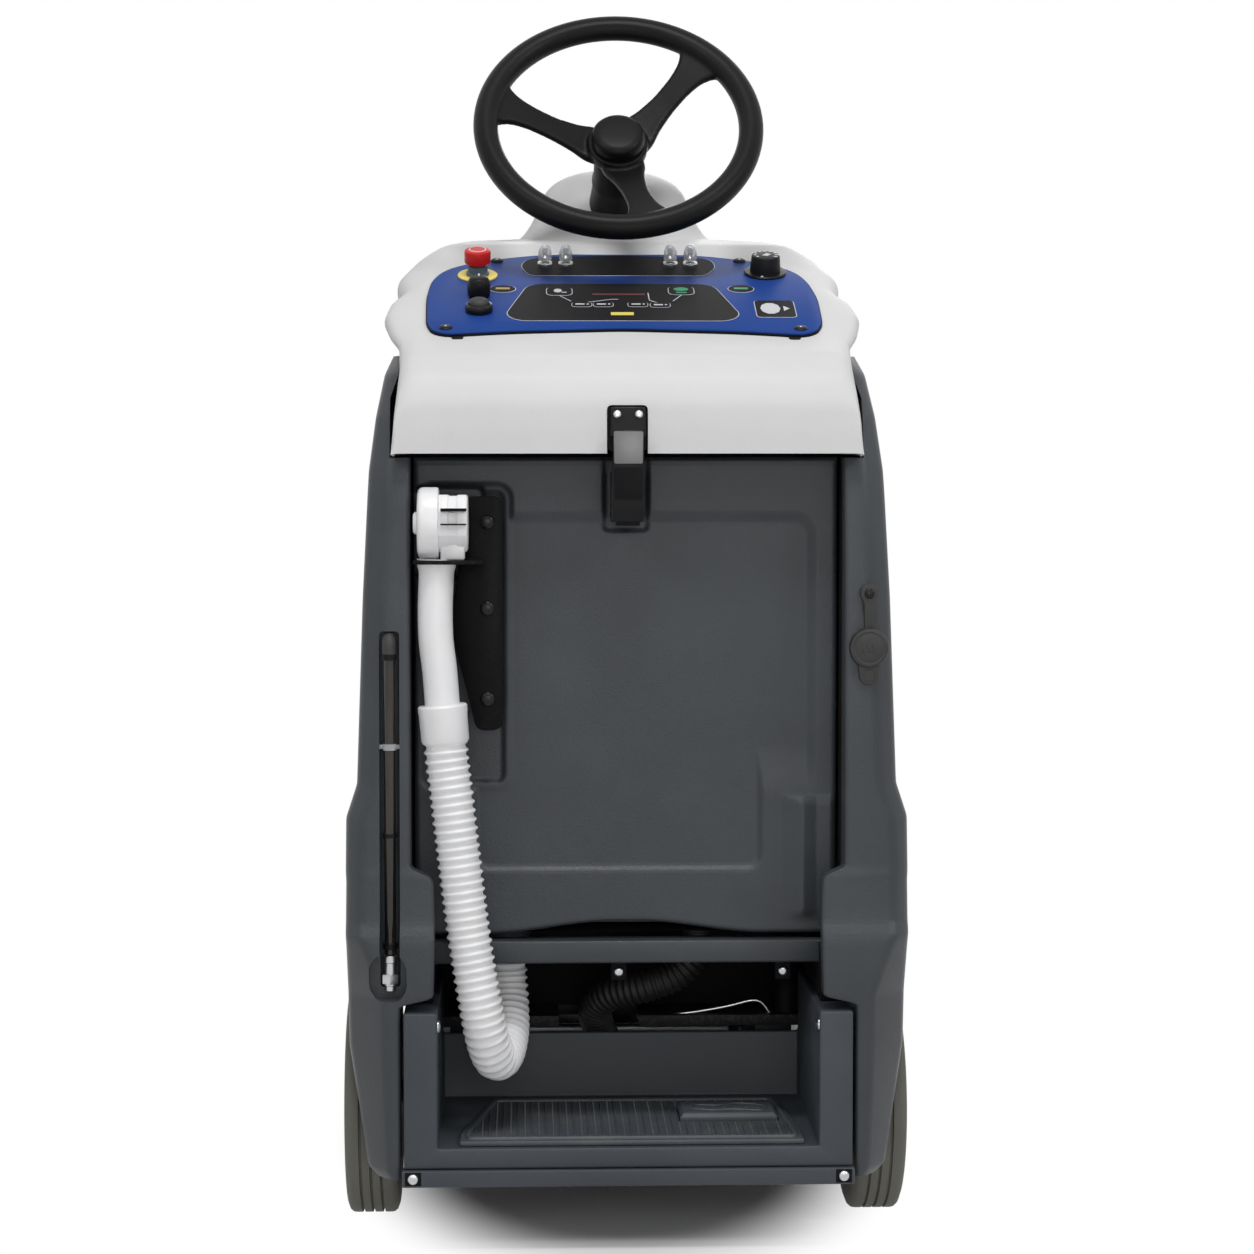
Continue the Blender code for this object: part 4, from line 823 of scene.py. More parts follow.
def side_cover(side, word):
    piece = skinned(side_rows(side))
    lane = ((0.19, 0.8275), (0.2475, 0.8275), (0.2475, 0.89), (0.239, 0.915), (0.239, 1.0), (0.19, 1.0))
    cut(piece, outlined(upright([(side * x, z) for x, z in lane], -0.7), (0, 0.8, 0)))
    arch = turned(((0.143, 0), (0.143, 0.09)), (side * 0.2358, AXLE_Y, AXLE_Z), (side, 0, 0), 96, (0, 1, 0))
    cut(piece, arch)
    cut(piece, side_block(side, 0.22, 0.34, (-0.3, 0.0), (0.1, 0.15)))
    if side < 0:
        cut(piece, eased_edges(block((-0.2585, -0.65, 0.276), (-0.2375, -0.5728, 0.648)), 0.004, 3))
        pocket = rounded(((-0.27, 0.276), (-0.262, 0.264), (-0.238, 0.264), (-0.2305, 0.276), (-0.2305, 0.3),
                          (-0.238, 0.312), (-0.262, 0.312), (-0.27, 0.3)), 0.004, 2)
        cut(piece, outlined(upright(pocket, -0.62), (0, 0.04, 0)))
    else:
        cut(piece, turned(((0.0172, 0), (0.0172, 0.1)), (0.251, -0.65, 0.63), (0, 1, 0), 48))
    ready(piece, "side_shell_" + word, "chassis", "body", ("side_cover_" + word,), 40.0)


# ---------------------------------------------------------------- recovery tank
FACE_Y = -0.524
FACE_X = 0.2243
FACE_TOP = 0.828


def face_depth(x, z, low):
    """How deep the rear face lies below its proudest plane."""
    frame_of_face = 0.0026
    upper = beyond(x, z, (-0.16, 0.44), (0.197, 0.765), 0.02)
    lower = beyond(x, z, (-0.16, 0.391), (0.143, 0.7), 0.014)
    fading = inside(0.495 - z, 0.055)
    high = inside(upper, 0.0125) * fading
    panel = np.maximum(high, inside(lower, 0.0085))
    hose = beyond(x, z, (-0.2185, 0.4753), (-0.1207, 0.7997), 0.016)
    latch = beyond(x, z, (-0.0235, 0.75), (0.0235, 0.9), 0.006)
    pocket = beyond(x, z, (-0.2245, 0.7), (-0.15, 0.797), 0.008)
    side = np.clip((x - 0.166) / 0.0215, 0, 1)
    below = np.clip((0.47 - z) / 0.0105, 0, 1)
    within = np.clip((0.2215 - x) / 0.003, 0, 1)
    boss = np.minimum(side, np.minimum(below, within))
    flush = 1 - 0.6 * np.clip((x - 0.1885) / 0.014, 0, 1)
    boss = boss * inside(0.34 - z, 0.014) * flush
    depth = frame_of_face + 0.0052 * panel - 0.0064 * boss
    shoulder = inside(hose, 0.005)
    depth = depth * (1 - shoulder) + 0.0072 * shoulder
    floor_in = inside(hose + 0.009, 0.005)
    depth = depth * (1 - floor_in) + 0.0122 * floor_in
    latch_in = inside(latch, 0.0035)
    depth = depth * (1 - latch_in) + 0.0118 * latch_in
    pocket_in = inside(pocket, 0.004)
    depth = depth * (1 - pocket_in) + np.maximum(depth, 0.018) * pocket_in
    lip = inside(0.8215 - z, 0.002)
    depth = depth - 0.0016 * lip * (1 - latch_in) * (1 - shoulder)
    edge = np.minimum(FACE_X - np.abs(x), np.minimum(z - low, FACE_TOP - z))
    round_r = 0.0055
    near = np.clip(1 - edge / round_r, 0, 1)
    return depth + round_r * (1 - np.sqrt(1 - near**2))


def tank():
    body = traced("recovery_tank")
    edit(body)
    bpy.ops.mesh.bisect(plane_co=(0, -0.4985, 0), plane_no=(0, 1, 0), clear_inner=True, use_fill=False)
    body = done()
    xs = np.linspace(-FACE_X, FACE_X, 226)
    ts = np.linspace(0, 1, 262)
    x, t = np.meshgrid(xs, ts)
    low = 0.3205 + 0.013 * inside(np.abs(x) - 0.082, 0.13)
    z = low + t * (FACE_TOP - low)
    y = FACE_Y + face_depth(x, z, low)
    face = skinned(np.stack([x, y, z], axis=2), False, False)
    edit(face, "DESELECT")
    bpy.ops.mesh.select_mode(type="EDGE")
    bpy.ops.mesh.select_non_manifold()
    bpy.ops.mesh.extrude_region_move(TRANSFORM_OT_translate={"value": (0, 0.012, 0)})
    bpy.ops.transform.resize(value=(1, 0, 1), center_override=(0, -0.4987, 0))
    bpy.ops.mesh.edge_face_add()
    bpy.ops.mesh.select_mode(type="VERT")
    face = outward(done())
    pin = ((0.0065, 0), (0.008, 0.0015), (0.008, 0.0215))
    pins = []
    for s in (-1, 1):
        pins.append(turned(pin, (s * 0.2385, -0.508, 0.332), (-s, 0, 0)))
    ready(join([body, face] + pins), "tank_shell", "tank", "body", ("recovery_tank",), 40.0)


# ---------------------------------------------------------------- dash
DASH_FOOT = (0.2455, 0.8305)
# y, then (half width, height) of foot, waist, lobe, upper round, top edge, and the height at the middle
DASH_STATIONS = (
    (-0.58, DASH_FOOT, (0.244, 0.831), (0.2425, 0.8315), (0.24, 0.8318), (0.232, 0.832), 0.832),
    (-0.58, DASH_FOOT, (0.2425, 0.838), (0.2415, 0.846), (0.24, 0.852), (0.232, 0.856), 0.857),
    (-0.578, DASH_FOOT, (0.2435, 0.85), (0.2425, 0.865), (0.24, 0.876), (0.228, 0.884), 0.885),
    (-0.565, DASH_FOOT, (0.242, 0.87), (0.24, 0.89), (0.237, 0.903), (0.225, 0.912), 0.913),
    (-0.535, DASH_FOOT, (0.238, 0.905), (0.2375, 0.918), (0.236, 0.929), (0.225, 0.937), 0.938),
    (-0.49, DASH_FOOT, (0.2375, 0.936), (0.24, 0.943), (0.2375, 0.949), (0.225, None), None),
    (-0.455, DASH_FOOT, (0.2375, 0.9385), (0.2525, 0.955), (0.248, 0.965), (0.2235, None), None),
    (-0.41, DASH_FOOT, (0.237, 0.9395), (0.261, 0.97), (0.256, 0.984), (0.2235, None), None),
    (-0.37, DASH_FOOT, (0.2365, 0.94), (0.2575, 0.984), (0.2515, 0.999), (0.2225, None), None),
    (-0.33, DASH_FOOT, (0.235, 0.941), (0.244, 0.996), (0.239, 1.011), (0.219, None), None),
    (-0.27, DASH_FOOT, (0.234, 0.945), (0.253, 1.013), (0.247, 1.031), (0.209, None), None),
    (-0.215, DASH_FOOT, (0.2325, 0.945), (0.242, 1.024), (0.233, 1.049), (0.199, 1.071), 1.072),
    (-0.15, DASH_FOOT, (0.23, 0.945), (0.226, 1.01), (0.212, 1.05), (0.18, 1.079), 1.087),
    (-0.05, DASH_FOOT, (0.229, 0.945), (0.224, 1.0), (0.21, 1.04), (0.17, 1.067), 1.078),
    (0.0183, DASH_FOOT, (0.2284, 0.942), (0.223, 0.988), (0.209, 1.015), (0.164, 1.036), 1.044),
    (0.04, (0.2282, 0.932), (0.228, 0.94), (0.222, 0.98), (0.208, 1.005), (0.16, 1.026), 1.033),
    (0.115, (0.2265, 0.932), (0.226, 0.938), (0.218, 0.95), (0.2, 0.962), (0.15, 0.976), 0.98),
    (0.13, (0.224, 0.9315), (0.22, 0.934), (0.212, 0.9365), (0.19, 0.939), (0.14, 0.941), 0.942),
)
DASH_ALONG = (8, 6, 5, 8, 12, 8, 12, 10, 16, 14, 10, 12, 16, 8, 4, 14, 6)


def dash_row(station):
    y, foot, waist, lobe, upper, edge, middle = station
    plane = PANEL_Z + math.tan(PANEL_SLOPE) * (y - PANEL_Y) - 0.0043 / math.cos(PANEL_SLOPE)
    edge = (edge[0], plane if edge[1] is None else edge[1])
    half = [foot, waist, lobe, upper, edge]
    row = [(-x, y, z) for x, z in half] + [(0, y, plane if middle is None else middle)]
    return row + [(x, y, z) for x, z in reversed(half)]


# height, half width, half depth
COWL_LEVELS = (
    (1.02, 0.19, 0.112), (1.058, 0.17, 0.108), (1.066, 0.146, 0.104), (1.075, 0.124, 0.098),
    (1.088, 0.107, 0.09), (1.104, 0.097, 0.081), (1.12, 0.09, 0.075), (1.136, 0.084, 0.069),
    (1.149, 0.073, 0.059), (1.158, 0.056, 0.045), (1.164, 0.034, 0.028), (1.166, 0.012, 0.01),
)
COWL_Y = -0.105


def dash():
    rows = [dash_row(station) for station in DASH_STATIONS]
    grid = dense(rows, (9, 6, 4, 5, 30, 30, 5, 4, 6, 9), DASH_ALONG)
    grid = eased(grid, 3, 2)
    piece = outward(thick(skinned(grid, False, False), 0.004))
    notch = rounded(((-0.0218, 0.8), (0.0206, 0.8), (0.0206, 0.882), (-0.0218, 0.882)), 0.005, 3)
    cut(piece, outlined(upright(notch, -0.62), (0, 0.06, 0)))
    ready(piece, "dash_shell", "chassis", "dash", ("dash_cover",), 50.0)
    rows = []
    levels = dense([[(h, a, b)] for h, a, b in COWL_LEVELS], (), [6] * (len(COWL_LEVELS) - 1))
    for h, a, b in eased(levels, 0, 10)[:, 0]:
        turn = [2 * math.pi * k / 120 for k in range(120)]
        rows.append([(a * math.cos(w), COWL_Y + b * math.sin(w), h) for w in turn])
    cowl = skinned(rows, True, True)
    ready(cowl, "dash_cowl", "chassis", "dash", (), 60.0)


side_cover(-1, "left")
side_cover(1, "right")
tank()
dash()

# ---------------------------------------------------------------- steering wheel
# radius, height, half width, half thickness along each spoke
SPOKE = (
    (0.008, -0.009, 0.026, 0.008), (0.034, -0.005, 0.0245, 0.0078), (0.05, 0.0, 0.0185, 0.0074),
    (0.075, 0.0085, 0.0148, 0.007), (0.1, 0.0185, 0.015, 0.007), (0.118, 0.0255, 0.018, 0.0072),
    (0.131, 0.03, 0.0245, 0.0078), (0.14, 0.033, 0.035, 0.0086), (0.15, 0.035, 0.048, 0.006),
)


def spoke(angle):
    rows = []
    for r, h, w, t in resampled(SPOKE, 0.004, 2):
        ring = []
        for k in range(24):
            a = 2 * math.pi * k / 24
            u = math.copysign(abs(math.cos(a)) ** 0.6, math.cos(a))
            lift = math.copysign(abs(math.sin(a)) ** 0.7, math.sin(a)) * (0.62 + 0.62 * abs(u) ** 5)
            ring.append((r, w * u, h + t * lift))
        rows.append(ring)
    piece = skinned(rows)
    edit(piece)
    bpy.ops.transform.rotate(value=-math.radians(angle), orient_axis="Z", center_override=(0, 0, 0))
    return done()


def steering_wheel():
    turn = [2 * math.pi * k / 20 for k in range(20)]
    circle = [(0.15 + 0.0142 * math.cos(a), 0.035 + 0.0142 * math.sin(a)) for a in turn]
    rim = spun(circle, (0, 0, 0), UP, 96)
    hub = turned(((0.02, -0.019), (0.027, -0.018), (0.0335, -0.008), (0.0345, 0.004), (0.0335, 0.006)),
                 segs=48)
    piece = join([rim, hub] + [spoke(angle) for angle in (46.0, 166.0, 283.0)])
    apply(piece, "REMESH", mode="VOXEL", voxel_size=0.0019)
    apply(piece, "SMOOTH", factor=0.5, iterations=5)
    pose_at(piece, HUB, WHEEL_N)
    ready(piece, "wheel_one_piece", "steering", "wheel", ("steering_wheel",), 80.0)
    puck = ((0.0296, 0.0063), (0.0304, 0.011), (0.0303, 0.016), (0.0293, 0.0198), (0.0272, 0.0226),
            (0.024, 0.0242), (0.019, 0.025), (0.008, 0.0253))
    ready(turned(puck, HUB, WHEEL_N, 72), "hub_puck", "steering", "wheel", ("hub_cap",),
          35.0)
    boot = ((0.0185, 0.0225), (0.0245, 0.024), (0.0265, 0.03), (0.027, 0.05), (0.0285, 0.054), (0.0285, 0.06),
            (0.0275, 0.064), (0.03, 0.09), (0.033, 0.11))
    ready(turned(boot, HUB, -WHEEL_N, 64), "column_boot", "chassis", "black", (), 30.0)


# ---------------------------------------------------------------- panel and its prints
PANEL_CORNERS = (
    (-0.19, 0.002), (-0.12, 0.013), (0.0, 0.0215), (0.12, 0.013), (0.19, 0.002), (0.205, 0.012),
    (0.2135, 0.038), (0.2155, 0.12), (0.209, 0.18), (0.196, 0.214), (0.16, 0.2445), (0.095, 0.2665),
    (0.0, 0.275), (-0.095, 0.2665), (-0.16, 0.2445), (-0.196, 0.214), (-0.209, 0.18), (-0.2135, 0.12),
    (-0.2115, 0.038), (-0.205, 0.012),
)


def grown(points, by):
    """A closed flat outline moved outward by a distance. The points run anticlockwise."""
    out = []
    for i, here in enumerate(points):
        way = Vector(points[(i + 1) % len(points)]) - Vector(points[i - 1])
        way.normalize()
        out.append(Vector(here) + by * Vector((way.y, -way.x)))
    return out


def printed(name, points, finish, low, high):
    return ready(outlined(laid(points, low), (high - low) * NORMAL), name, "chassis", finish)


def framed(name, points, line=0.0009, fill="ink", level=0.0):
    """A filled field with a thin pale line round it."""
    printed(name + "_line", grown(points, line), "line", level, level + 0.0003)
    printed(name + "_field", points, fill, level, level + 0.0006)


def oval(x, v, wide, high, steps=32):
    turn = [2 * math.pi * k / steps for k in range(steps)]
    return [Vector((x + wide * math.cos(a), v + high * math.sin(a))) for a in turn]


def pill(x, v, wide, high, radius):
    return rounded(rectangle(x - wide, v - high, x + wide, v + high), radius, 4)


def stroke(a, b, wide):
    """The outline of a straight line of the given width."""
    a = Vector(a)
    b = Vector(b)
    way = (b - a).normalized() * wide / 2
    side = Vector((way.y, -way.x))
    return [a - side, a + side, b + side, b - side]


def panel():
    plate = rounded(PANEL_CORNERS, 0.02, 4)
    piece = eased_edges(outlined(laid(plate, -0.004), 0.004 * NORMAL), 0.0007, 2, 40)
    ready(piece, "panel_plate", "chassis", "film", ("control_panel",), 30.0)
    top = ((-0.1015, 0.194), (0.0963, 0.1945), (0.1096, 0.223), (0.106, 0.248), (0.09, 0.2575), (0, 0.2645),
           (-0.09, 0.2575), (-0.1047, 0.248), (-0.1107, 0.227))
    framed("switch_strip", rounded(top, 0.012, 5))
    low = ((-0.1145, 0.043), (0.1145, 0.043), (0.127, 0.062), (0.102, 0.164), (-0.102, 0.164),
           (-0.127, 0.062))
    framed("lamp_field", rounded(low, 0.019, 6))
    for word, x, v, tone in (("left", -0.1308, 0.1473, "gold"), ("right", 0.1334, 0.1488, "green")):
        framed("oval_" + word, oval(x, v, 0.014, 0.0118))
        printed("oval_bar_" + word, pill(x, v, 0.0078, 0.003, 0.001), tone, 0.0006, 0.0009)
    framed("lamp_left", pill(-0.0683, 0.1377, 0.0138, 0.0132, 0.008), 0.0008, "ink", 0.0006)
    framed("lamp_right", pill(0.0665, 0.1404, 0.0138, 0.0132, 0.008), 0.0008, "ink", 0.0006)
    printed("lamp_left_dot", oval(-0.07, 0.1385, 0.0044, 0.0058, 20), "line", 0.0012, 0.0015)
    printed("lamp_left_bar", pill(-0.063, 0.133, 0.0028, 0.0012, 0.0005), "line", 0.0012, 0.0015)
    printed("lamp_right_dot", oval(0.0665, 0.144, 0.0082, 0.0058, 24), "green", 0.0012, 0.0015)
    printed("lamp_right_foot", pill(0.0665, 0.133, 0.006, 0.0018, 0.0008), "green", 0.0012, 0.0015)
    for i, (x, v) in enumerate(((-0.0442, 0.0937), (-0.0208, 0.0938), (0.017, 0.094), (0.0413, 0.0921))):
        framed(f"mark_{i}", pill(x, v, 0.0106, 0.0072, 0.005), 0.0007, "ink", 0.0006)
        printed(f"mark_bar_{i}", pill(x - 0.002, v, 0.005, 0.0016, 0.0006), "line", 0.0012, 0.0015)
        printed(f"mark_dot_{i}", oval(x + 0.0064, v, 0.0014, 0.0016, 12), "line", 0.0012, 0.0015)
    paths = (((-0.0376, 0.1015), (-0.0116, 0.1113)), ((-0.0116, 0.1113), (-0.004, 0.1113)),
             ((0.0295, 0.1332), (0.0301, 0.1086)), ((0.0301, 0.1086), (0.0394, 0.0989)),
             ((-0.0683, 0.1237), (-0.056, 0.105)), ((0.0665, 0.1264), (0.056, 0.106)))
    for i, (a, b) in enumerate(paths):
        printed(f"link_{i}", stroke(a, b, 0.001), "line", 0.0006, 0.0009)
    printed("red_bar", pill(-0.003, 0.128, 0.029, 0.0026, 0.0012), "dark_red", 0.0006, 0.0009)
    printed("yellow_bar", pill(-0.0009, 0.064, 0.0124, 0.0046, 0.001), "yellow", 0.0006, 0.0009)
    framed("sign", pill(0.1664, 0.082, 0.0212, 0.027, 0.006))
    printed("sign_disc", oval(0.161, 0.082, 0.011, 0.018, 10), "line", 0.0006, 0.0009)
    arrow = [Vector(p) for p in ((0.1755, 0.074), (0.182, 0.082), (0.1755, 0.09))]
    printed("sign_arrow", arrow, "line", 0.0006, 0.0009)
    # Black pills below the plate's two lower corners: painted shade in the dash's drain notches.
    for i, x in enumerate((-0.178, 0.181)):
        printed(f"drain_notch_shade_{i}", pill(x, 0.0005, 0.0062, 0.005, 0.003), "ink", -0.0046, -0.0032)
    # A black rim just under the plate's edge: a painted shadow line round the panel.
    printed("panel_shadow_line", grown(plate, 0.0011), "ink", -0.0052, -0.0016)
    for i, (x, v) in enumerate(((-0.138, 0.2446), (0.1384, 0.2465), (-0.191, 0.02), (0.1888, 0.0187))):
        head = ((0.0072, 0.0), (0.0072, 0.0008), (0.0058, 0.002), (0.0036, 0.0026), (0.002, 0.0026),
                (0.0019, 0.0012))
        ready(turned(head, on_panel(x, v), NORMAL, 32), f"panel_screw_{i}", "chassis", "black")
        glint = turned(((0.0021, 0.001), (0.0019, 0.0022), (0.001, 0.0027)), on_panel(x, v), NORMAL, 20)
        ready(glint, f"panel_socket_{i}", "chassis", "steel")


def control(name, spot, profile, body, finish, stands_for=(), segs=56, angle=35.0):
    piece = turned(profile, on_panel(*spot), NORMAL, segs)
    return ready(piece, name, body, finish, stands_for, angle)


def controls():
    stop = (-0.159, 0.192)
    control("estop_disc", stop, ((0.0224, 0.0003), (0.0224, 0.0014), (0.0218, 0.002)), "chassis", "yellow",
            ("estop_base",))
    collar = ((0.0128, 0.0019), (0.0128, 0.005), (0.0112, 0.0058), (0.011, 0.0125), (0.01, 0.013))
    control("estop_collar", stop, collar, "chassis", "collar")
    head = ((0.0088, 0.01), (0.009, 0.015), (0.0132, 0.0154), (0.0143, 0.0164), (0.0146, 0.018),
            (0.0148, 0.028), (0.0142, 0.03), (0.0124, 0.0309), (0.008, 0.0312), (0.002, 0.0313))
    control("estop_mushroom", stop, head, "estop", "red", ("estop_button",))
    ring = spun(((0.0084, 0.0308), (0.0098, 0.0306), (0.0098, 0.0313), (0.0084, 0.0316)), on_panel(*stop),
                NORMAL, 56)
    ready(ring, "estop_ring", "estop", "line")
    knob = (-0.1566, 0.1203)
    barrel = ((0.0108, 0.0003), (0.0124, 0.003), (0.0127, 0.006), (0.0127, 0.014), (0.0118, 0.0185),
              (0.0102, 0.0218), (0.0078, 0.0232), (0.003, 0.0236))
    control("selector_barrel", knob, barrel, "selector", "black", ("selector_knob",))
    low = knob[1] + 0.002
    pointer = rectangle(knob[0] - 0.001, low, knob[0] + 0.001, low + 0.007)
    ready(outlined(laid(pointer, 0.0236), 0.0005 * NORMAL), "selector_mark", "selector", "line")
    horn = (-0.156, 0.0725)
    nut = spun(((0.0111, 0.0003), (0.0146, 0.0003), (0.015, 0.003), (0.015, 0.0062), (0.0142, 0.0084),
                (0.0122, 0.0092), (0.0111, 0.0086)), on_panel(*horn), NORMAL, 56)
    ready(nut, "horn_nut", "chassis", "gloss")
    boot = ((0.0104, 0.0048), (0.0106, 0.01), (0.0098, 0.0128), (0.007, 0.0146), (0.003, 0.0152),
            (0.0008, 0.0153))
    control("horn_boot", horn, boot, "horn", "rubber", ("horn_button",), angle=50.0)
    spot = (0.1644, 0.203)
    plate = ((0.024, 0.0003), (0.024, 0.002), (0.023, 0.003), (0.02, 0.0032))
    control("dial_plate", spot, plate, "chassis", "gloss", ("dial_base",))
    knob = ((0.0172, 0.0035), (0.017, 0.008), (0.016, 0.02), (0.0152, 0.0216), (0.012, 0.0222),
            (0.003, 0.0222))
    dot = turned(((0.0016, 0.003), (0.0014, 0.0035)), on_panel(spot[0] - 0.005, spot[1] - 0.02), NORMAL, 20)
    ready(dot, "dial_dot", "chassis", "line")
    grip = turned(knob, on_panel(*spot), NORMAL, 72)
    ready(grip, "dial_knob", "dial", "black", ("speed_dial",), 35.0)
    for i in range(9):
        a = math.radians(215 - 31 * i)
        inner = (spot[0] + 0.0105 * math.cos(a), spot[1] + 0.0105 * math.sin(a))
        outer = (spot[0] + (0.0132 + 0.0002 * i) * math.cos(a), spot[1] + (0.0132 + 0.0002 * i) * math.sin(a))
        tick = laid(stroke(inner, outer, 0.0028), 0.0221)
        ready(outlined(tick, 0.0003 * NORMAL), f"dial_tick_{i}", "dial", "line")
    mark = [on_panel(spot[0] + x, spot[1] + v, 0.0221) for x, v in
            ((-0.0045, -0.003), (0.002, -0.005), (0.006, 0.001), (0.001, 0.005))]
    ready(outlined(mark, 0.0004 * NORMAL), "dial_arrow", "dial", "line")
    boot = ((0.0058, 0.006), (0.0074, 0.0066), (0.0079, 0.0082), (0.0072, 0.01), (0.0076, 0.0125),
            (0.0072, 0.0165), (0.0056, 0.021), (0.0036, 0.0232), (0.0012, 0.024))
    nut = ((0.0094, 0.0), (0.0094, 0.0026), (0.0086, 0.0032), (0.006, 0.0034))
    collar = ((0.005, 0.003), (0.005, 0.004), (0.0044, 0.0043))
    lever = ((0.0018, 0.0062), (0.0055, 0.0075), (0.0056, 0.0095), (0.0024, 0.012), (0.0036, 0.0175),
             (0.0034, 0.0205), (0.0015, 0.0212))
    for i, x in enumerate((-0.0834, -0.0599, 0.0586, 0.0812), 1):
        spot = (x, 0.232)
        control(f"switch_boot_{i}", spot, boot, f"toggle_{i}", "boot", (f"toggle_{i}",), 32,
                angle=60.0)
        control(f"switch_nut_{i}", spot, nut, "chassis", "steel", (), 6)
        control(f"switch_collar_{i}", spot, collar, "chassis", "steel")
        control(f"switch_lever_{i}", spot, lever, f"toggle_{i}", "steel", (), 24)


# ---------------------------------------------------------------- drain hose ends
def hex_head(origin, way, radius, name, body):
    """A domed screw with a six-sided socket."""
    dome = ((radius, 0.0), (radius, 0.0008), (0.82 * radius, 0.0022), (0.55 * radius, 0.0029),
            (0.42 * radius, 0.003))
    across = (1, 0, 0) if abs(Vector(way).x) < 0.9 else (0, 1, 0)
    head = turned(dome, origin, way, 36, across)
    seat = Vector(origin) + 0.0016 * Vector(way)
    socket = turned(((0.38 * radius, 0.0), (0.38 * radius, 0.004)), seat, way, 6, across)
    cut(head, socket)
    return ready(head, name, body, "steel")


def drain():
    valve = Vector((-0.1965, HOSE_Y, 0.76))
    path = along_curve(((-0.1985, HOSE_Y, 0.723), (-0.1988, HOSE_Y, 0.705), (-0.2, HOSE_Y, 0.675),
                        (-0.1995, HOSE_Y, 0.64), (-0.1955, HOSE_Y, 0.604), (-0.1925, HOSE_Y, 0.562)), 0.004)
    radii = [0.0182 + 0.0022 * float(inside(0.713 - p.z, 0.01)) for p in path]
    ready(tube(path, radii, 48), "drain_elbow", "tank", "white", ("drain_neck",), 50.0)
    cuff = ((0.0215, 0.0), (0.024, 0.0006), (0.025, 0.003), (0.0253, 0.03), (0.0258, 0.033), (0.0258, 0.038),
            (0.0245, 0.0396), (0.019, 0.0398))
    ready(turned(cuff, (-0.19, HOSE_Y, 0.5315), (-0.08, 0, 1), 64), "drain_cuff_turned", "tank", "white",
          ("drain_cuff",), 35.0)
    body = ((0.03, 0.0), (0.0318, 0.0008), (0.0318, 0.01), (0.0306, 0.0112), (0.0306, 0.019),
            (0.0318, 0.0202), (0.0318, 0.029), (0.03, 0.0306), (0.024, 0.031))
    shell = turned(body, valve, (1, 0, 0), 8, (0, 0.92388, 0.38268), 0.0011)
    foot = block((-0.194, -0.592, 0.7222), (-0.169, -0.558, 0.74), 0.002)
    ready(join([shell, foot]), "valve_body", "tank", "white", ("drain_valve",), 35.0)
    # Black bars on the valve's rear face: painted shade in its two slots.
    for i, (z, half) in enumerate(((0.7595, 0.0007), (0.7745, 0.0014))):
        slot = block((-0.1935, -0.6085, z - half), (-0.1668, -0.595, z + half), 0.0004)
        ready(slot, f"valve_slot_shade_{i}", "tank", "ink")
    cap = ((0.0345, 0.0), (0.0366, 0.0006), (0.0372, 0.003), (0.0372, 0.0165), (0.0366, 0.019),
           (0.0345, 0.0212), (0.031, 0.0222), (0.015, 0.0224), (0.012, 0.0232), (0.0112, 0.0255),
           (0.0095, 0.0268), (0.004, 0.027))
    piece = turned(cap, (-0.1958, HOSE_Y, 0.76), (-1, 0, 0), 72, (0, 1, 0))
    ready(piece, "drain_cap_turned", "drain_cap", "white", ("drain_cap",), 35.0)
    outline = rounded(((-0.17, 0.785), (-0.164, 0.787), (-0.1305, 0.788), (-0.13, 0.542), (-0.158, 0.54),
                       (-0.166, 0.575), (-0.1825, 0.638), (-0.1835, 0.665), (-0.175, 0.72)), 0.011, 5)
    plate = eased_edges(outlined(upright(outline, -0.539), (0, -0.004, 0)), 0.001, 2, 40)
    web = block((-0.16, -0.541, 0.575), (-0.14, -0.5113, 0.765))
    shelf = block((-0.2222, -0.6, 0.718), (-0.15, -0.541, 0.722), 0.001, 2)
    ready(join([plate, web, shelf]), "bracket_plate", "tank", "bracket", ("hose_bracket",),
          30.0)
    for i, z in enumerate((0.76, 0.6695, 0.574)):
        dome = ((0.0078, 0.0), (0.0078, 0.0006), (0.0066, 0.0018), (0.004, 0.0027), (0.0012, 0.0029))
        ready(turned(dome, (-0.1465, -0.5428, z), BACK, 40), f"bracket_rivet_{i}", "tank", "gloss",
              (), 60.0)


steering_wheel()
panel()
controls()
drain()

# ---------------------------------------------------------------- platform
def taper(piece, share):
    """Draws the top face of a block in."""
    top = max(vert.co.z for vert in piece.data.vertices)
    for face in piece.data.polygons:
        face.select = face.center.z > top - TOUCHING
    for vert in piece.data.vertices:
        vert.select = vert.co.z > top - TOUCHING
    for line in piece.data.edges:
        line.select = all(piece.data.vertices[i].co.z > top - TOUCHING for i in line.vertices)
    only(piece)
    bpy.ops.object.mode_set(mode="EDIT")
    bpy.ops.transform.resize(value=share)
    return done()


def repeated(piece, count, step):
    apply(piece, "ARRAY", count=count, use_relative_offset=False, use_constant_offset=True,
          constant_offset_displace=step)


def banded(outline, steps):
    """A closed band that follows an outline, through (inset, height) steps and back to the first."""
    rows = [[(p.x, p.y, z) for p in grown(outline, -inset)] for inset, z in steps]
    return skinned(rows + rows[:1], True, False)


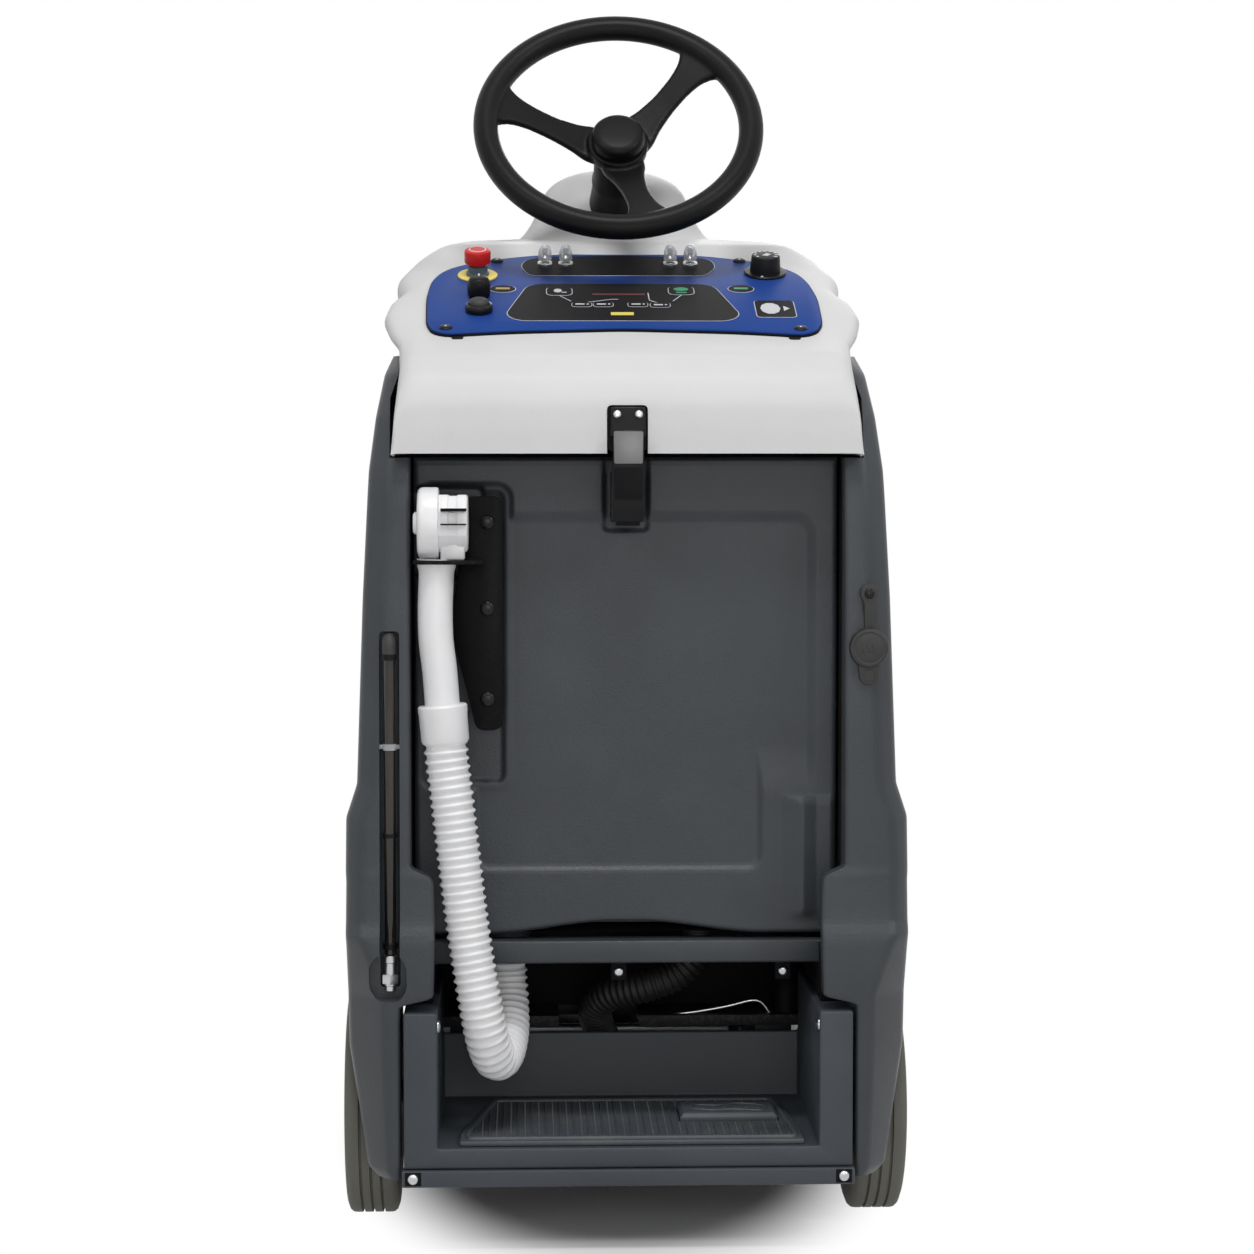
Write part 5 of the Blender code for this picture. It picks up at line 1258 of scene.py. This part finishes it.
def tray():
    softened("foot_tray", "tray_moulding", "chassis", "tray", "body_plastic", 0.0024)
    for s, word in ((-1, "left"), (1, "right")):
        hex_head((s * 0.1988, -0.5965, 0.237), (-s, 0, 0), 0.007, "tray_screw_" + word, "chassis")
    mat = traced("foot_mat")
    eased_edges(mat, 0.0012, 2)
    ready(mat, "mat_sheet", "chassis", "mat", ("foot_mat",))
    bar = block((-0.169, -0.58, 0.1157), (-0.1672, -0.5765, 0.1173))
    taper(bar, (0.6, 0.7, 1))
    repeated(bar, 24, (0.015, 0, 0))
    repeated(bar, 29, (0, 0.0058, 0))
    rib = block((-0.1617, -0.579, 0.1157), (-0.1593, -0.418, 0.1176))
    taper(rib, (0.5, 0.99, 1))
    repeated(rib, 23, (0.015, 0, 0))
    bar = join([bar, rib])
    for plane, normal in (((-0.1665, -0.56, 0), (-1, 0.19, 0)), ((0.1735, -0.56, 0), (1, 0.08, 0))):
        edit(bar)
        bpy.ops.mesh.bisect(plane_co=plane, plane_no=normal, clear_outer=True, use_fill=False)
        done()
    cut(bar, block((0.0545, -0.517, 0.1), (0.1675, -0.45, 0.2)))
    ready(bar, "mat_ribs", "chassis", "mat")
    outline = rounded(((-0.171, -0.59), (0.1795, -0.59), (0.1785, -0.56), (0.167, -0.409), (-0.143, -0.409),
                       (-0.1705, -0.56)), 0.012, 5)
    edge = ((0, 0.1155), (0.0006, 0.118), (0.0022, 0.1188), (0.004, 0.1186), (0.0054, 0.1176),
            (0.006, 0.1155))
    ready(banded(outline, edge), "mat_border", "chassis", "mat", (), 50.0)
    softened("presence_pedal", "pedal_pad", "pedal", "mat", "black_rubber", 0.0012)
    sole = rounded(((0.068, -0.49), (0.09, -0.5), (0.12, -0.496), (0.15, -0.504), (0.156, -0.48),
                    (0.138, -0.468), (0.118, -0.464), (0.1, -0.476), (0.076, -0.47)), 0.008, 5)
    ridge = banded(sole, ((0, 0.1242), (0.0008, 0.1254), (0.002, 0.1254), (0.0028, 0.1242)))
    ready(ridge, "pedal_ridge", "pedal", "mat", (), 50.0)
    for i in range(6):
        bar = block((0.082 + 0.012 * i, -0.49, 0.124), (0.0855 + 0.012 * i, -0.48, 0.1252), 0.0005, 2)
        ready(bar, f"pedal_bar_{i}", "pedal", "mat")
    softened("rear_bumper", "bumper_bar", "chassis", "tray", "body_plastic", 0.0018)
    for s, word in ((-1, "l"), (1, "r")):
        x = s * 0.2245
        # A dark plate behind each screw: painted shade of the screw's recess.
        seat = block((x - 0.0085, -0.6104, 0.0725), (x + 0.0085, -0.6085, 0.0868), 0.0006)
        ready(seat, "bumper_recess_shade_" + word, "chassis", "ink")
        hex_head((x, -0.6104, 0.0798), BACK, 0.0056, "bumper_screw_" + word, "chassis")


# ---------------------------------------------------------------- latch
def latch():
    softened("latch_keeper", "keeper_plate", "chassis", "gloss", "black_plastic", 0.0009, 2)
    # A black slab in the dash notch behind the keeper: painted shade of the latch recess.
    recess_shade_outline = rounded(((-0.0205, 0.835), (0.0192, 0.835), (0.0192, 0.88), (-0.0205, 0.88)), 0.003, 3)
    back = outlined(upright(recess_shade_outline, -0.5795), (0, 0.005, 0))
    ready(back, "keeper_recess_shade", "chassis", "ink")
    for i, x in enumerate((-0.0112, 0.0112)):
        hex_head((x, -0.5835, 0.8725), BACK, 0.0044, f"keeper_screw_{i}", "chassis")
    softened("latch_base", "latch_seat", "tank", "gloss", "black_plastic", 0.0008, 2)
    piece = traced("latch_lever")
    eased_edges(piece, 0.0012, 3, 30)
    ready(piece, "lever_body", "latch", "black", ("latch_lever",))
    skins = (
        ("lever_plate", "lever", 0.0148, 0.8215, 0.0154, 0.855, 0.0014, 0.0005),
        ("lever_pad", "ink", 0.0142, 0.785, 0.015, 0.818, 0.0012, 0.0004),
    )
    for name, finish, foot, low, head, high, wall, ease in skins:
        shape = rounded(((-foot, low), (foot, low), (head, high), (-head, high)), 0.002, 3)
        skin = outlined([(p.x, -0.5926 - 0.0045 * (0.847 - p.y) * 0.2, p.y) for p in shape], (0, -wall, 0))
        ready(eased_edges(skin, ease, 2, 40), name, "latch", finish, (), 30.0)


# ---------------------------------------------------------------- level tube, its valve, and the charging cap
def level():
    x = -0.248
    y = -0.5788
    piece = turned(((0.0052, 0), (0.006, 0.0006), (0.006, 0.315), (0.0052, 0.3156)), (x, y, 0.3105), UP, 32)
    ready(piece, "level_tube_turned", "chassis", "tube", ("level_tube",), 40.0)
    bend = along_curve(((x, y, 0.618), (x, y, 0.63), (x, y + 0.001, 0.636), (x, y + 0.005, 0.64),
                        (x, y + 0.012, 0.641)), 0.0015)
    ready(tube(bend, [0.0072] * len(bend), 28), "level_elbow", "chassis", "rubber", (), 50.0)
    for i, z in enumerate((0.618, 0.316)):
        band = turned(((0.007, 0), (0.0078, 0.0008), (0.0078, 0.006), (0.007, 0.0068)), (x, y, z), UP, 32)
        ready(band, f"level_band_{i}", "chassis", "black")
    for i, (z, tall, finish) in enumerate(((0.5245, 0.0065, "boot"), (0.433, 0.004, "black"))):
        band = spun(((0.0061, 0), (0.0071, 0), (0.0071, tall), (0.0061, tall)), (x, y, z), UP, 40)
        ready(band, f"level_clip_{i}", "chassis", finish)
        for s in (-1, 1):
            low = (x + s * 0.0095 - 0.0035, y + 0.0005, z + 0.001)
            high = (x + s * 0.0095 + 0.0035, y + 0.0022, z + tall - 0.001)
            ear = block(low, high, 0.0005, 2)
            ready(ear, f"level_ear_{i}{'l' if s < 0 else 'r'}", "chassis", finish)
    foot = (x, -0.5818, 0.2725)
    stem = ((0.005, 0.0), (0.0056, 0.0006), (0.0056, 0.0055), (0.0066, 0.0062), (0.0066, 0.0085))
    lower = turned(stem, foot, UP, 32)
    nut = turned(((0.0088, 0.008), (0.0092, 0.0088), (0.0092, 0.0172), (0.0088, 0.018)), foot, UP, 6)
    upper = turned(((0.0062, 0.018), (0.0062, 0.0295), (0.0074, 0.0305), (0.0074, 0.0368), (0.0066, 0.0375)),
                   foot, UP, 32)
    ready(join([lower, nut, upper]), "level_valve_turned", "chassis", "steel",
          ("level_valve",), 30.0)


def charging_cap():
    x = 0.251
    z = 0.63
    seat = -0.5804
    disc = ((0.0196, 0.0), (0.0206, 0.001), (0.0206, 0.006), (0.0196, 0.0078), (0.017, 0.0086),
            (0.016, 0.008), (0.0152, 0.008), (0.014, 0.0087), (0.006, 0.009))
    cap = turned(disc, (x, -0.5802, z), BACK, 72)
    strap = rounded([(x + a, z + b) for a, b in ((-0.0045, 0.014), (0.0045, 0.014), (0.0055, 0.048),
                                                 (0.0092, 0.053), (0.0092, 0.062), (0.0045, 0.0665),
                                                 (-0.0045, 0.0665), (-0.0092, 0.062), (-0.0092, 0.053),
                                                 (-0.0055, 0.048))], 0.003, 3)
    strap = eased_edges(outlined(upright(strap, seat), (0, -0.0042, 0)), 0.0009, 2)
    pull = rounded([(x + a, z + b) for a, b in ((-0.012, -0.012), (-0.01, -0.032), (-0.005, -0.0385),
                    (0.005, -0.0385), (0.01, -0.032), (0.012, -0.012))], 0.004, 4)
    pull = eased_edges(outlined(upright(pull, seat), (0, -0.0056, 0)), 0.001, 2)
    ready(join([cap, strap, pull]), "port_cap_moulding", "port_cap", "rubber",
          ("port_cap",), 35.0)
    ring = spun(((0.004, 0.0), (0.0048, 0.0006), (0.0056, 0.0)), (x, -0.5858, z - 0.027), BACK, 40)
    wider = Matrix.Diagonal((1.25, 1, 1, 1))
    ring.data.transform(Matrix.Translation((x, 0, 0)) @ wider @ Matrix.Translation((-x, 0, 0)))
    ready(ring, "port_pull_ring", "port_cap", "rubber", (), 50.0)
    for i in range(3):
        low = (x - 0.0075 + 0.0055 * i, -0.5897, z - 0.0045)
        high = (x - 0.004 + 0.0055 * i, -0.5888, z + 0.0045)
        rib = block(low, high, 0.0004, 2)
        ready(rib, f"port_rib_{i}", "port_cap", "rubber")
    dome = ((0.0052, 0.0), (0.0052, 0.0006), (0.004, 0.0018), (0.0015, 0.0022))
    ready(turned(dome, (x, -0.5846, z + 0.0565), BACK, 36), "port_rivet", "port_cap", "gloss", (), 60.0)
    softened("charge_socket", "charge_socket_shell", "chassis", "rubber", "black_rubber", 0.0005, 2)


# ---------------------------------------------------------------- wheels
def tread(outer, inner, width, grooves):
    """A tyre outline of (radius, height), with its grooves and rounded shoulders."""
    line = [(inner, 0.0065), (outer - 0.021, 0.0015), (outer - 0.009, 0.0), (outer - 0.003, 0.0022),
            (outer - 0.0006, 0.005), (outer, 0.008)]
    for at in grooves:
        line += [(outer, at - 0.0016), (outer - 0.0034, at - 0.001), (outer - 0.0034, at + 0.001),
                 (outer, at + 0.0016)]
    line += [(outer, width - 0.008), (outer - 0.0006, width - 0.005), (outer - 0.003, width - 0.0022),
             (outer - 0.009, width), (outer - 0.021, width - 0.0015), (inner, width - 0.0065)]
    return line


def wheels():
    rim = ((0.0125, 0.004), (0.026, 0.004), (0.028, 0.018), (0.07, 0.02), (0.073, 0.008), (0.0815, 0.007),
           (0.0815, 0.048), (0.073, 0.047), (0.07, 0.032), (0.028, 0.034), (0.026, 0.054), (0.0125, 0.054))
    for side, word in ((-1, "left"), (1, "right")):
        at = (side * 0.245, AXLE_Y, AXLE_Z)
        piece = spun(tread(AXLE_Z, 0.0823, 0.055, (0.0165, 0.0275, 0.0385)), at, (side, 0, 0), 96, (0, 1, 0))
        ready(piece, "tyre_treaded_" + word, "rear_wheel_" + word, "tyre", ("tyre_" + word,), 32.0)
        piece = eased_edges(spun(rim, at, (side, 0, 0), 72, (0, 1, 0)), 0.0012, 2, 30)
        ready(piece, "rim_pressed_" + word, "rear_wheel_" + word, "rim", ("rim_" + word,), 30.0)
        for i in range(5):
            a = 2 * math.pi * i / 5
            spot = Vector((side * (0.245 + 0.0325), AXLE_Y + 0.048 * math.cos(a),
                           AXLE_Z + 0.048 * math.sin(a)))
            hex_head(spot, (side, 0, 0), 0.0065, f"rim_bolt_{word}_{i}", "rear_wheel_" + word)
        softened("axle_" + word, "stub_axle_" + word, "chassis", "steel", "bright_steel", 0.001, 2)
    at = (0, 0.44, 0.09914)
    line = [(r, h - 0.034) for r, h in tread(0.09914, 0.0663, 0.068, (0.024, 0.034, 0.044))]
    ready(spun(line, at, (1, 0, 0), 96, (0, 1, 0)), "drive_tyre_treaded", "drive_wheel", "tyre",
          ("drive_tyre",), 32.0)
    softened("drive_rim", "drive_rim_cast", "drive_wheel", "rim", "rim_paint", 0.001, 2)
    softened("drive_fork", "drive_fork_cast", "drive_yoke", "frame", "frame_paint", 0.0015, 2)


# ---------------------------------------------------------------- nose
NOSE_STATIONS = (
    (0.0205, 1.0, 0.205, 0.93), (0.16, 1.0, 0.205, 0.93), (0.34, 0.992, 0.205, 0.88),
    (0.48, 0.96, 0.21, 0.8), (0.56, 0.9, 0.22, 0.715), (0.598, 0.8, 0.24, 0.63),
    (0.61, 0.69, 0.27, 0.54),
)


def nose():
    rows = []
    stations = list(NOSE_STATIONS) + [(0.6098, 0.4, 0.34, 0.46), (0.6096, 0.05, 0.395, 0.405)]
    for y, factor, low, top in stations:
        span = top - low
        half = ((0.288, low), (0.284, low + 0.35 * span), (0.271, low + 0.82 * span),
                (0.262, low + 0.93 * span), (0.235, top))
        row = [(-x * factor, y, z) for x, z in half] + [(0, y, top)] + [(x * factor, y, z) for x,
                                                                        z in reversed(half)]
        rows.append(row)
    grid = dense(rows, (8, 10, 4, 5, 24, 24, 5, 4, 10, 8), (24, 28, 20, 14, 8, 6, 8, 8))
    piece = outward(thick(skinned(eased(grid, 3, 4), False, False), 0.0045))
    ready(piece, "nose_shell", "chassis", "body", ("front_body",), 60.0)


# ---------------------------------------------------------------- the bay, and what lies inside
DECK_TOP = 0.2003
# node, name, body, finish, slot, rounding, then the rounding's steps and the least angle it acts on
INNER_PARTS = (
    ("battery_left", "battery_case_left", "chassis", "case", "battery_case", 0.004),
    ("battery_right", "battery_case_right", "chassis", "case", "battery_case", 0.004),
    ("chassis_frame", "frame_welded", "chassis", "frame", "frame_paint", 0.0012, 2),
    ("solution_tank", "solution_tank_moulding", "chassis", "natural", "tank_natural", 0.008),
    ("vacuum_motor", "vacuum_motor_housing", "chassis", "gloss", "black_plastic", 0.002),
    ("tank_lid", "tank_lid_moulding", "lid", "black", "black_plastic", 0.001, 2),
    ("steering_column", "steering_column_tube", "chassis", "frame", "frame_paint", 0.001, 2, 40),
    ("steering_shaft", "steering_shaft_turned", "steering", "steel", "bright_steel", 0.0008, 2, 40),
    ("brush_deck", "deck_pressed", "deck", "deck", "deck_paint", 0.0015, 2, 40),
    ("brush_motor", "brush_motor_housing", "deck", "gloss", "black_plastic", 0.0015, 2, 40),
    ("squeegee_frame", "squeegee_frame_cast", "squeegee", "alloy", "squeegee_alloy", 0.0008, 2, 40),
    ("squeegee_blade_front", "squeegee_blade_front_cut", "squeegee", "blade", "blade_rubber", 0.0003, 1, 40),
    ("squeegee_blade_rear", "squeegee_blade_rear_cut", "squeegee", "blade", "blade_rubber", 0.0003, 1, 40),
)


def bay():
    softened("cross_beam", "beam_moulding", "chassis", "body", "body_plastic", 0.0032)
    for i, x in enumerate((-0.007, 0.17)):
        # Black tabs behind the beam screws: painted shade of the dark bay there.
        ready(block((x - 0.0085, -0.496, 0.266), (x + 0.0085, -0.492, 0.292), 0.001), f"bay_tab_shade_{i}",
              "chassis", "ink")
        hex_head((x, -0.496, 0.2755), BACK, 0.0056, f"bay_screw_{i}", "chassis")
    # Black sheets on the bay's cheeks, inner sides and back: painted shade that darkens the bay.
    shade_sheets = (
        ("bay_cheek_shade_", 0.205, 0.225, (-0.55, 0.253), (-0.357, 0.313)),
        ("bay_side_shade_", 0.2262, 0.234, (-0.3565, DECK_TOP), (0.019, 0.827)),
        ("tank_side_shade_", 0.2262, 0.234, (-0.545, 0.315), (-0.3565, 0.827)),
    )
    for s, word in ((-1, "left"), (1, "right")):
        for name, near, far, low, high in shade_sheets:
            ready(side_block(s, near, far, low, high, 0.001), name + word, "chassis", "ink")
    ready(block((-0.222, -0.2925, DECK_TOP), (0.222, -0.2885, 0.82), 0.001), "bay_back_shade", "chassis", "ink")
    post = ((0.013, 0.0), (0.014, 0.001), (0.014, 0.04), (0.0125, 0.042), (0.0125, 0.085))
    ready(turned(post, (0.188, -0.34, DECK_TOP), UP, 40), "bay_post", "chassis", "ink")
    rod = along_curve(((0.05, -0.344, 0.1975), (0.085, -0.344, 0.2015), (0.12, -0.344, 0.2075),
                       (0.148, -0.344, 0.214), (0.16, -0.344, 0.211), (0.169, -0.344, 0.1985)), 0.004)
    ready(tube(rod, [0.0023] * len(rod), 16), "bay_rod", "chassis", "steel", (), 50.0)
    for given in INNER_PARTS:
        softened(*given)
    brush = ((0.012, 0.031), (0.085, 0.031), (0.086, 0.066), (0.1, 0.066), (0.1, 0.0302), (0.235, 0.0302),
             (0.233, 0.05), (0.225, 0.078), (0.21, 0.086), (0.05, 0.092), (0.0112, 0.093), (0.0112, 0.1))
    ready(turned(brush, (0, 0.035, 0), UP, 96), "brush_ring", "brush", "fibre",
          ("disc_brush",), 30.0)
    hub_of_brush = ((0.0112, 0.09), (0.0112, 0.145))
    ready(turned(hub_of_brush, (0, 0.035, 0), UP, 32), "brush_boss", "brush", "steel")


tray()
latch()
level()
charging_cap()
wheels()
nose()
bay()


# ---------------------------------------------------------------- finishes of the frame's own nodes
NODE_FINISH = { "body": ("side_cover_left", "side_cover_right", "front_body", "recovery_tank",
                         "cross_beam"), "tray": ("foot_tray", "rear_bumper"), "dash": ("dash_cover",),
               "black": ("vacuum_motor", "brush_motor", "tank_lid", "latch_base", "latch_keeper",
                         "latch_lever", "selector_knob", "speed_dial", "dial_base"),
               "wheel": ("steering_wheel", "hub_cap"), "case": ("battery_left", "battery_right"),
               "film": ("control_panel",), "white": ("drain_neck", "drain_cuff", "drain_valve",
                                                     "drain_cap"), "hose": ("drain_hose",),
               "hose_black": ("suction_hose",), "natural": ("solution_tank",),
               "frame": ("chassis_frame", "drive_fork", "steering_column"), "bracket": ("hose_bracket",),
               "deck": ("brush_deck",), "rim": ("rim_left", "rim_right", "drive_rim"),
               "steel": ("axle_left", "axle_right", "level_valve", "steering_shaft"),
               "alloy": ("squeegee_frame",), "tyre": ("tyre_left", "tyre_right", "drive_tyre"),
               "mat": ("foot_mat", "presence_pedal"), "rubber": ("port_cap", "charge_socket",
                                                                 "horn_button"),
               "blade": ("squeegee_blade_front", "squeegee_blade_rear"), "red": ("estop_button",),
               "yellow": ("estop_base",), "fibre": ("disc_brush",), "tube": ("level_tube",),
               "boot": ("toggle_1", "toggle_2", "toggle_3", "toggle_4"), }
for finish, nodes in NODE_FINISH.items():
    for node in nodes:
        thing = frame["nodes"][node]
        thing.data.materials.clear()
        thing.data.materials.append(FINISHES[finish].material)
